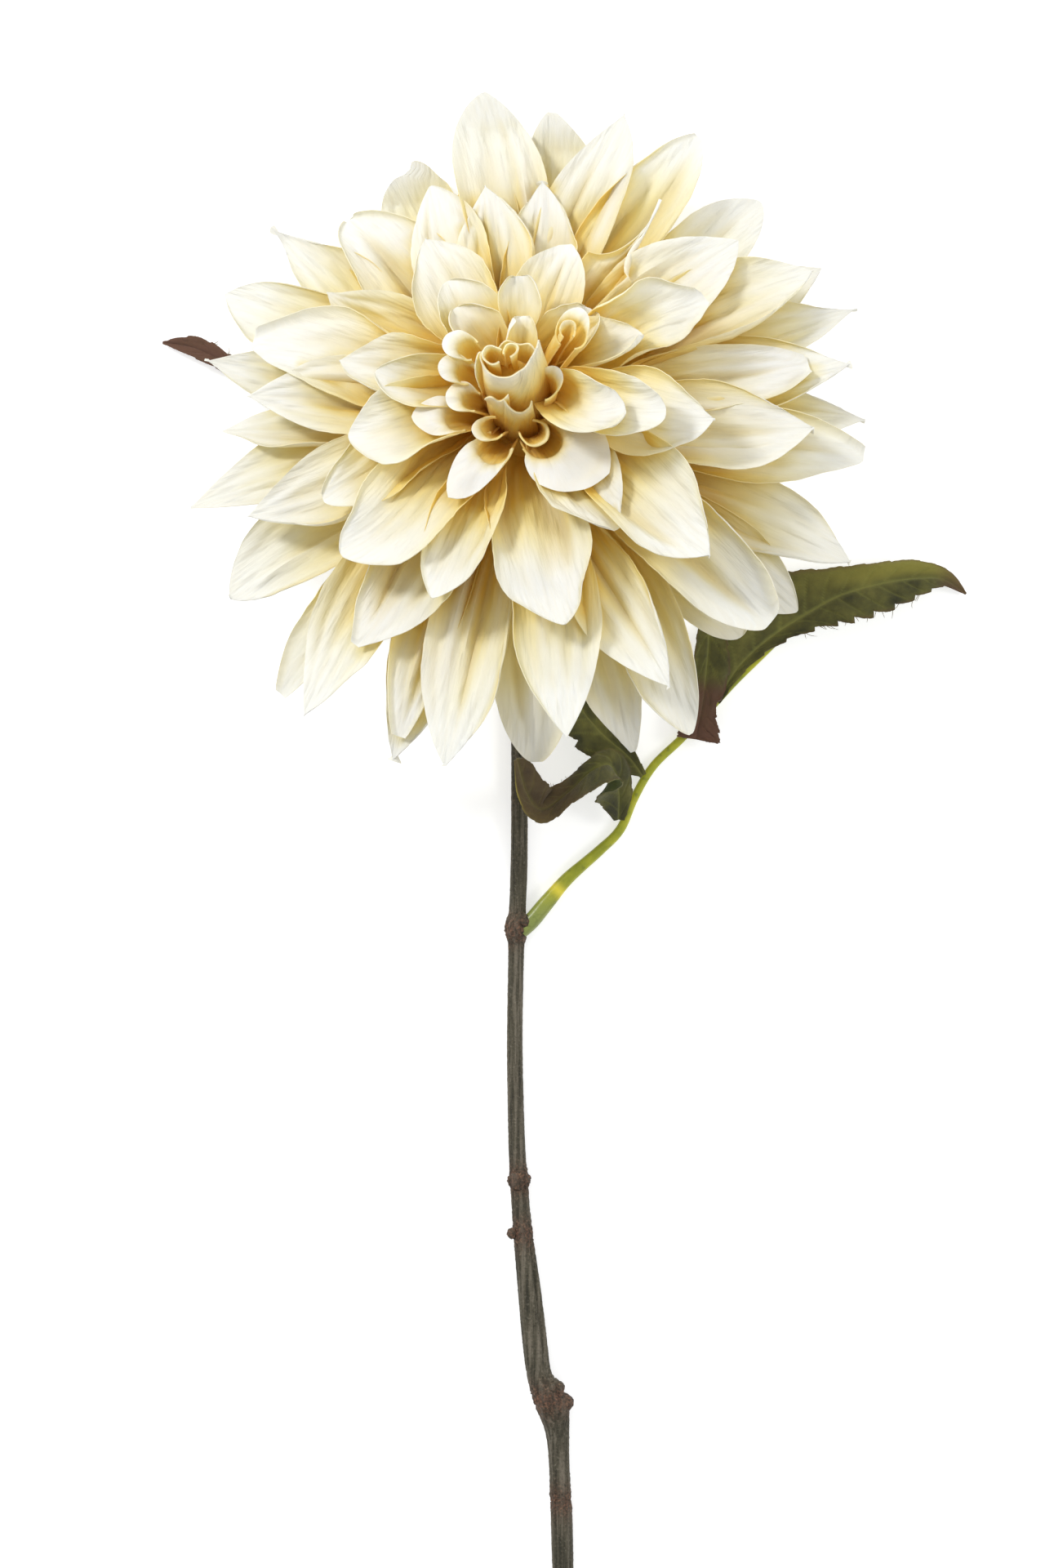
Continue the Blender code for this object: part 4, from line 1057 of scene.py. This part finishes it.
# Materials
class Shading:
    """A short way to add and link shader nodes."""

    def __init__(self, name):
        self.material = bpy.data.materials.new(name)
        self.material.use_nodes = True
        self.tree = self.material.node_tree
        self.shader = self.tree.nodes["Principled BSDF"]

    def give(self, socket, given):
        """Links another socket to this one, or sets it to a number, a colour or three values."""
        if isinstance(given, bpy.types.NodeSocket):
            self.tree.links.new(given, socket)
        elif socket.type == "RGBA":
            socket.default_value = (*given, 1.0)
        else:
            socket.default_value = given

    def add(self, kind, inputs, **settings):
        """A new node, with its inputs given by name or number."""
        node = self.tree.nodes.new(kind)
        for key, value in settings.items():
            setattr(node, key, value)
        for key, given in inputs.items():
            self.give(node.inputs[key], given)
        return node

    def surface(self, **values):
        """Sets the shader's sockets, with _ in a name for a space."""
        for key, given in values.items():
            self.give(self.shader.inputs[key.replace("_", " ")], given)

    def place(self):
        return self.add("ShaderNodeTexCoord", {}).outputs["Object"]

    def uv(self):
        return self.add("ShaderNodeUVMap", {}, uv_map="UVMap").outputs[0]

    def channels(self, name):
        """The first three values of a named attribute."""
        attribute = self.add("ShaderNodeAttribute", {}, attribute_name=name)
        return self.add("ShaderNodeSeparateColor", {0: attribute.outputs["Color"]}).outputs[:3]

    def value(self, operation, first, second=0.0, clamp=False):
        inputs = {0: first, 1: second}
        return self.add("ShaderNodeMath", inputs, operation=operation, use_clamp=clamp).outputs[0]

    def plus(self, first, second, clamp=False):
        return self.value("ADD", first, second, clamp)

    def minus(self, first, second, clamp=False):
        return self.value("SUBTRACT", first, second, clamp)

    def times(self, first, second, clamp=False):
        return self.value("MULTIPLY", first, second, clamp)

    def past(self, value, start, gain):
        """How far a value is past a start, times the gain, and 1 at most."""
        return self.times(self.minus(value, start, clamp=True), gain, clamp=True)

    def mix(self, share, first, second):
        return self.add("ShaderNodeMix", {0: share, 6: first, 7: second}, data_type="RGBA").outputs[2]

    def tint(self, colour, *tints):
        """The colour with others mixed over it in order, each (share, colour)."""
        for share, over in tints:
            colour = self.mix(share, colour, over)
        return colour

    def noise(self, vector, scale, detail=3.0, roughness=0.5):
        inputs = {"Vector": vector, "Scale": scale, "Detail": detail, "Roughness": roughness}
        return self.add("ShaderNodeTexNoise", inputs).outputs["Fac"]

    def stretched(self, vector, scale):
        return self.add("ShaderNodeMapping", {"Vector": vector, "Scale": scale}).outputs[0]

    def ramp(self, share, *stops):
        node = self.add("ShaderNodeValToRGB", {0: share})
        elements = node.color_ramp.elements
        while len(elements) < len(stops):
            elements.new(0.5)
        for element, (position, colour) in zip(elements, stops):
            element.position = position
            element.color = (*colour, 1.0)
        return node.outputs[0]

    def bump(self, *heights):
        """Bumps in order, each (height, distance in metres, strength)."""
        normal = {}
        for height, distance, strength in heights:
            inputs = {"Height": height, "Distance": distance, "Strength": strength, **normal}
            normal = {"Normal": self.add("ShaderNodeBump", inputs).outputs[0]}
        self.surface(**normal)

    def weave(self, uv, threads):
        """The height of a plain weave: crossed waves on the UV map."""
        inputs = {"Vector": uv, "Scale": threads, "Distortion": 0.6, "Detail": 1.0}
        waves = [self.add("ShaderNodeTexWave", inputs, bands_direction=way).outputs["Fac"] for way in "XY"]
        return self.times(*waves)


def petal_material():
    s = Shading("petal_fabric")
    along, across, shut_in = s.channels("marks")
    gold, grey, fold = s.channels("tones")
    uv = s.uv()
    cloud = s.noise(s.place(), 60.0, 4.0)
    streak = s.noise(s.stretched(uv, (90.0, 9.0, 1.0)), 1.0, 4.0, 0.6)
    streaks = s.minus(streak, 0.5)
    # Gold at a petal's root, white toward its tip: partly the fabric's dye and partly painted shade of the
    # bloom's depths.
    depth = s.plus(s.times(along, 0.95), 0.16)
    # Darker gold where petals shut a point in: painted shade of the hollows.
    depth = s.minus(depth, s.times(shut_in, 0.85))
    depth = s.minus(depth, s.times(gold, 0.16))
    depth = s.plus(depth, s.times(s.minus(cloud, 0.5), 0.16))
    depth = s.plus(depth, s.times(streaks, 0.12))
    colour = s.ramp(
        depth,
        (0.0, (0.94, 0.66, 0.12)),
        (0.15, (0.96, 0.76, 0.22)),
        (0.34, (0.96, 0.83, 0.38)),
        (0.52, (0.93, 0.87, 0.58)),
        (0.72, (0.90, 0.885, 0.76)),
        (0.92, (0.89, 0.90, 0.885)),
    )
    colour = s.tint(
        colour,
        # Greyer petals: painted shade.
        (s.times(grey, 0.4), (0.66, 0.63, 0.53)),
        (s.plus(s.times(streaks, 0.5), 0.05, clamp=True), (0.78, 0.68, 0.42)),
        # Darker gold in the valleys of the folds is painted shade, and whiter ridges are a painted
        # highlight.
        (s.past(0.5, fold, 1.5), (0.80, 0.69, 0.38)),
        (s.past(fold, 0.5, 1.1), (0.93, 0.92, 0.88)),
        (s.past(s.value("ABSOLUTE", s.minus(across, 0.5)), 0.485, 14.0), (0.86, 0.79, 0.58)),
    )
    s.surface(Base_Color=colour, Roughness=0.5, Specular_IOR_Level=0.3, Sheen_Weight=0.12)
    fine = s.noise(s.stretched(uv, (420.0, 40.0, 1.0)), 1.0, 3.0)
    wrinkles = s.noise(s.stretched(uv, (21.0, 4.5, 1.0)), 1.0, 2.0)
    threads = s.weave(uv, 110.0)
    s.bump((wrinkles, 0.004, 0.55), (streak, 0.0008, 0.5), (fine, 0.0002, 0.2), (threads, 0.0001, 0.15))
    glow = s.add("ShaderNodeBsdfTranslucent", {"Color": s.mix(0.5, colour, (0.92, 0.83, 0.48))})
    share = s.plus(s.times(shut_in, 0.5), 0.24, clamp=True)
    both = s.add("ShaderNodeMixShader", {0: share, 1: s.shader.outputs[0], 2: glow.outputs[0]})
    s.give(s.tree.nodes["Material Output"].inputs["Surface"], both.outputs[0])
    return s.material


def leaf_material():
    s = Shading("leaf_fabric")
    vein, under, brown = s.channels("marks")
    pale = s.channels("tones")[0]
    place = s.place()
    cloud = s.noise(place, 120.0, 5.0, 0.6)
    fine = s.noise(place, 900.0, 3.0)
    dark, olive, bright = (0.026, 0.024, 0.008), (0.104, 0.098, 0.022), (0.185, 0.170, 0.038)
    colour = s.tint(
        s.ramp(cloud, (0.32, dark), (0.55, olive), (0.72, bright)),
        (s.times(fine, 0.3), (0.10, 0.11, 0.03)),
        (s.times(under, 0.55), (0.16, 0.21, 0.05)),
        # A lighter sheen on part of the blade: a painted highlight.
        (s.times(pale, 1.5, clamp=True), (0.30, 0.270, 0.046)),
        (s.times(vein, 0.55), (0.33, 0.33, 0.08)),
        (s.times(brown, s.plus(cloud, 0.45), clamp=True), (0.138, 0.066, 0.040)),
        # The strongest part of the painted sheen turns yellow.
        (s.past(pale, 0.6, 2.5), (0.55, 0.44, 0.08)),
    )
    s.surface(Base_Color=colour, Roughness=0.72, Specular_IOR_Level=0.3, Sheen_Weight=0.12)
    s.bump((cloud, 0.0007, 0.4), (fine, 0.0003, 0.5), (s.weave(s.uv(), 260.0), 0.0003, 0.5))
    return s.material


def stem_material():
    s = Shading("stem_bark")
    knot = s.channels("marks")[0]
    place = s.place()
    long_grain = s.noise(s.stretched(place, (900.0, 45.0, 900.0)), 1.0, 5.0, 0.6)
    cloud = s.noise(place, 55.0, 4.0)
    fine = s.noise(place, 1400.0, 4.0, 0.65)
    dark, brown, light = (0.024, 0.020, 0.014), (0.084, 0.071, 0.049), (0.20, 0.17, 0.13)
    skin = s.ramp(long_grain, (0.34, dark), (0.5, brown), (0.66, light))
    dark, brown, light = (0.030, 0.014, 0.010), (0.10, 0.042, 0.028), (0.24, 0.11, 0.06)
    rust = s.ramp(fine, (0.38, dark), (0.52, brown), (0.64, light))
    knots = s.times(knot, s.plus(fine, 0.1), clamp=True)
    rusty = s.plus(knots, s.times(s.past(cloud, 0.56, 2.5), fine), clamp=True)
    colour = s.tint(
        skin,
        (s.times(cloud, 0.55), (0.060, 0.060, 0.034)),
        (s.past(fine, 0.56, 3.5), (0.23, 0.20, 0.15)),
        (s.past(0.44, fine, 4.0), (0.014, 0.012, 0.008)),
        (s.times(rusty, 0.9, clamp=True), rust),
    )
    s.surface(Base_Color=colour, Roughness=0.7, Specular_IOR_Level=0.25)
    s.bump((long_grain, 0.0012, 0.7), (fine, 0.0005, 0.8))
    return s.material


def stalk_material():
    s = Shading("stalk_skin")
    foot, spot = s.channels("marks")[:2]
    place = s.place()
    cloud = s.noise(place, 110.0, 4.0)
    spots = s.noise(place, 420.0, 2.0)
    dark, green, light = (0.20, 0.23, 0.010), (0.36, 0.38, 0.016), (0.50, 0.48, 0.025)
    colour = s.tint(
        s.ramp(cloud, (0.3, dark), (0.55, green), (0.75, light)),
        (s.times(foot, 0.85), (0.18, 0.22, 0.065)),
        (spot, (0.70, 0.60, 0.04)),
        (s.past(spots, 0.62, 4.0), (0.10, 0.13, 0.02)),
    )
    s.surface(Base_Color=colour, Roughness=0.34, Specular_IOR_Level=0.5)
    s.bump((cloud, 0.0004, 0.4), (spots, 0.0002, 0.4))
    return s.material


def calyx_material():
    s = Shading("calyx_green")
    place = s.place()
    cloud = s.noise(place, 130.0, 4.0)
    fine = s.noise(place, 900.0, 3.0)
    colour = s.ramp(cloud, (0.3, (0.09, 0.13, 0.03)), (0.6, (0.20, 0.27, 0.07)), (0.8, (0.30, 0.35, 0.11)))
    s.surface(Base_Color=colour, Roughness=0.55)
    s.bump((cloud, 0.0006, 0.4), (fine, 0.0002, 0.4))
    return s.material


def floor_material():
    s = Shading("floor_white")
    s.surface(Base_Color=(0.72, 0.72, 0.72), Roughness=0.9, Specular_IOR_Level=0.1)
    s.surface(Emission_Color=(1.0, 1.0, 1.0), Emission_Strength=0.54)
    return s.material


# Stage, in metres
def build_stage():
    mesh = bpy.data.meshes.new("floor")
    reach = FLOOR_REACH
    corners = ((-reach, -reach, 0.0), (reach, -reach, 0.0), (reach, reach, 0.0), (-reach, reach, 0.0))
    mesh.from_pydata(corners, [], [(0, 1, 2, 3)])
    mesh.materials.append(floor_material())
    floor = add_object("floor", mesh)
    floor.location.z = FLOOR_HEIGHT


def build_lights():
    world = bpy.data.worlds.new("studio")
    world.use_nodes = True
    background = world.node_tree.nodes["Background"]
    background.inputs[0].default_value = (*WORLD_COLOUR, 1.0)
    background.inputs[1].default_value = WORLD_STRENGTH
    bpy.context.scene.world = world
    for name, place, size, power in LIGHTS:
        data = bpy.data.lights.new(name, "AREA")
        data.shape = "DISK"
        data.size = size
        data.energy = power
        light = add_object(name, data)
        light.location = place
        light.rotation_euler = (LIGHT_TARGET - Vector(place)).to_track_quat("-Z", "Y").to_euler()


def build_camera():
    data = bpy.data.cameras.new("camera")
    data.sensor_fit = "VERTICAL"
    data.sensor_height = 36.0
    frame_height = PHOTO_HEIGHT * MM_PER_PIXEL * MM
    data.lens = data.sensor_height * (CAMERA_HEIGHT - SHARP_HEIGHT) / frame_height
    data.clip_end = 20.0
    camera = add_object("camera", data)
    aside = (PHOTO_WIDTH / 2 - FOOT_PIXEL[0]) * MM_PER_PIXEL
    before = (PHOTO_HEIGHT / 2 - FOOT_PIXEL[1]) * MM_PER_PIXEL
    camera.location = ((FOOT.x + aside) * MM, (FOOT.y - before) * MM, CAMERA_HEIGHT)
    bpy.context.scene.camera = camera
    bpy.context.scene.view_settings.view_transform = "Standard"


build_camera()
build_bloom(petal_material())
build_calyx(calyx_material())
build_stem(stem_material())
build_stalks(stalk_material())
build_leaves(leaf_material())
build_stage()
build_lights()
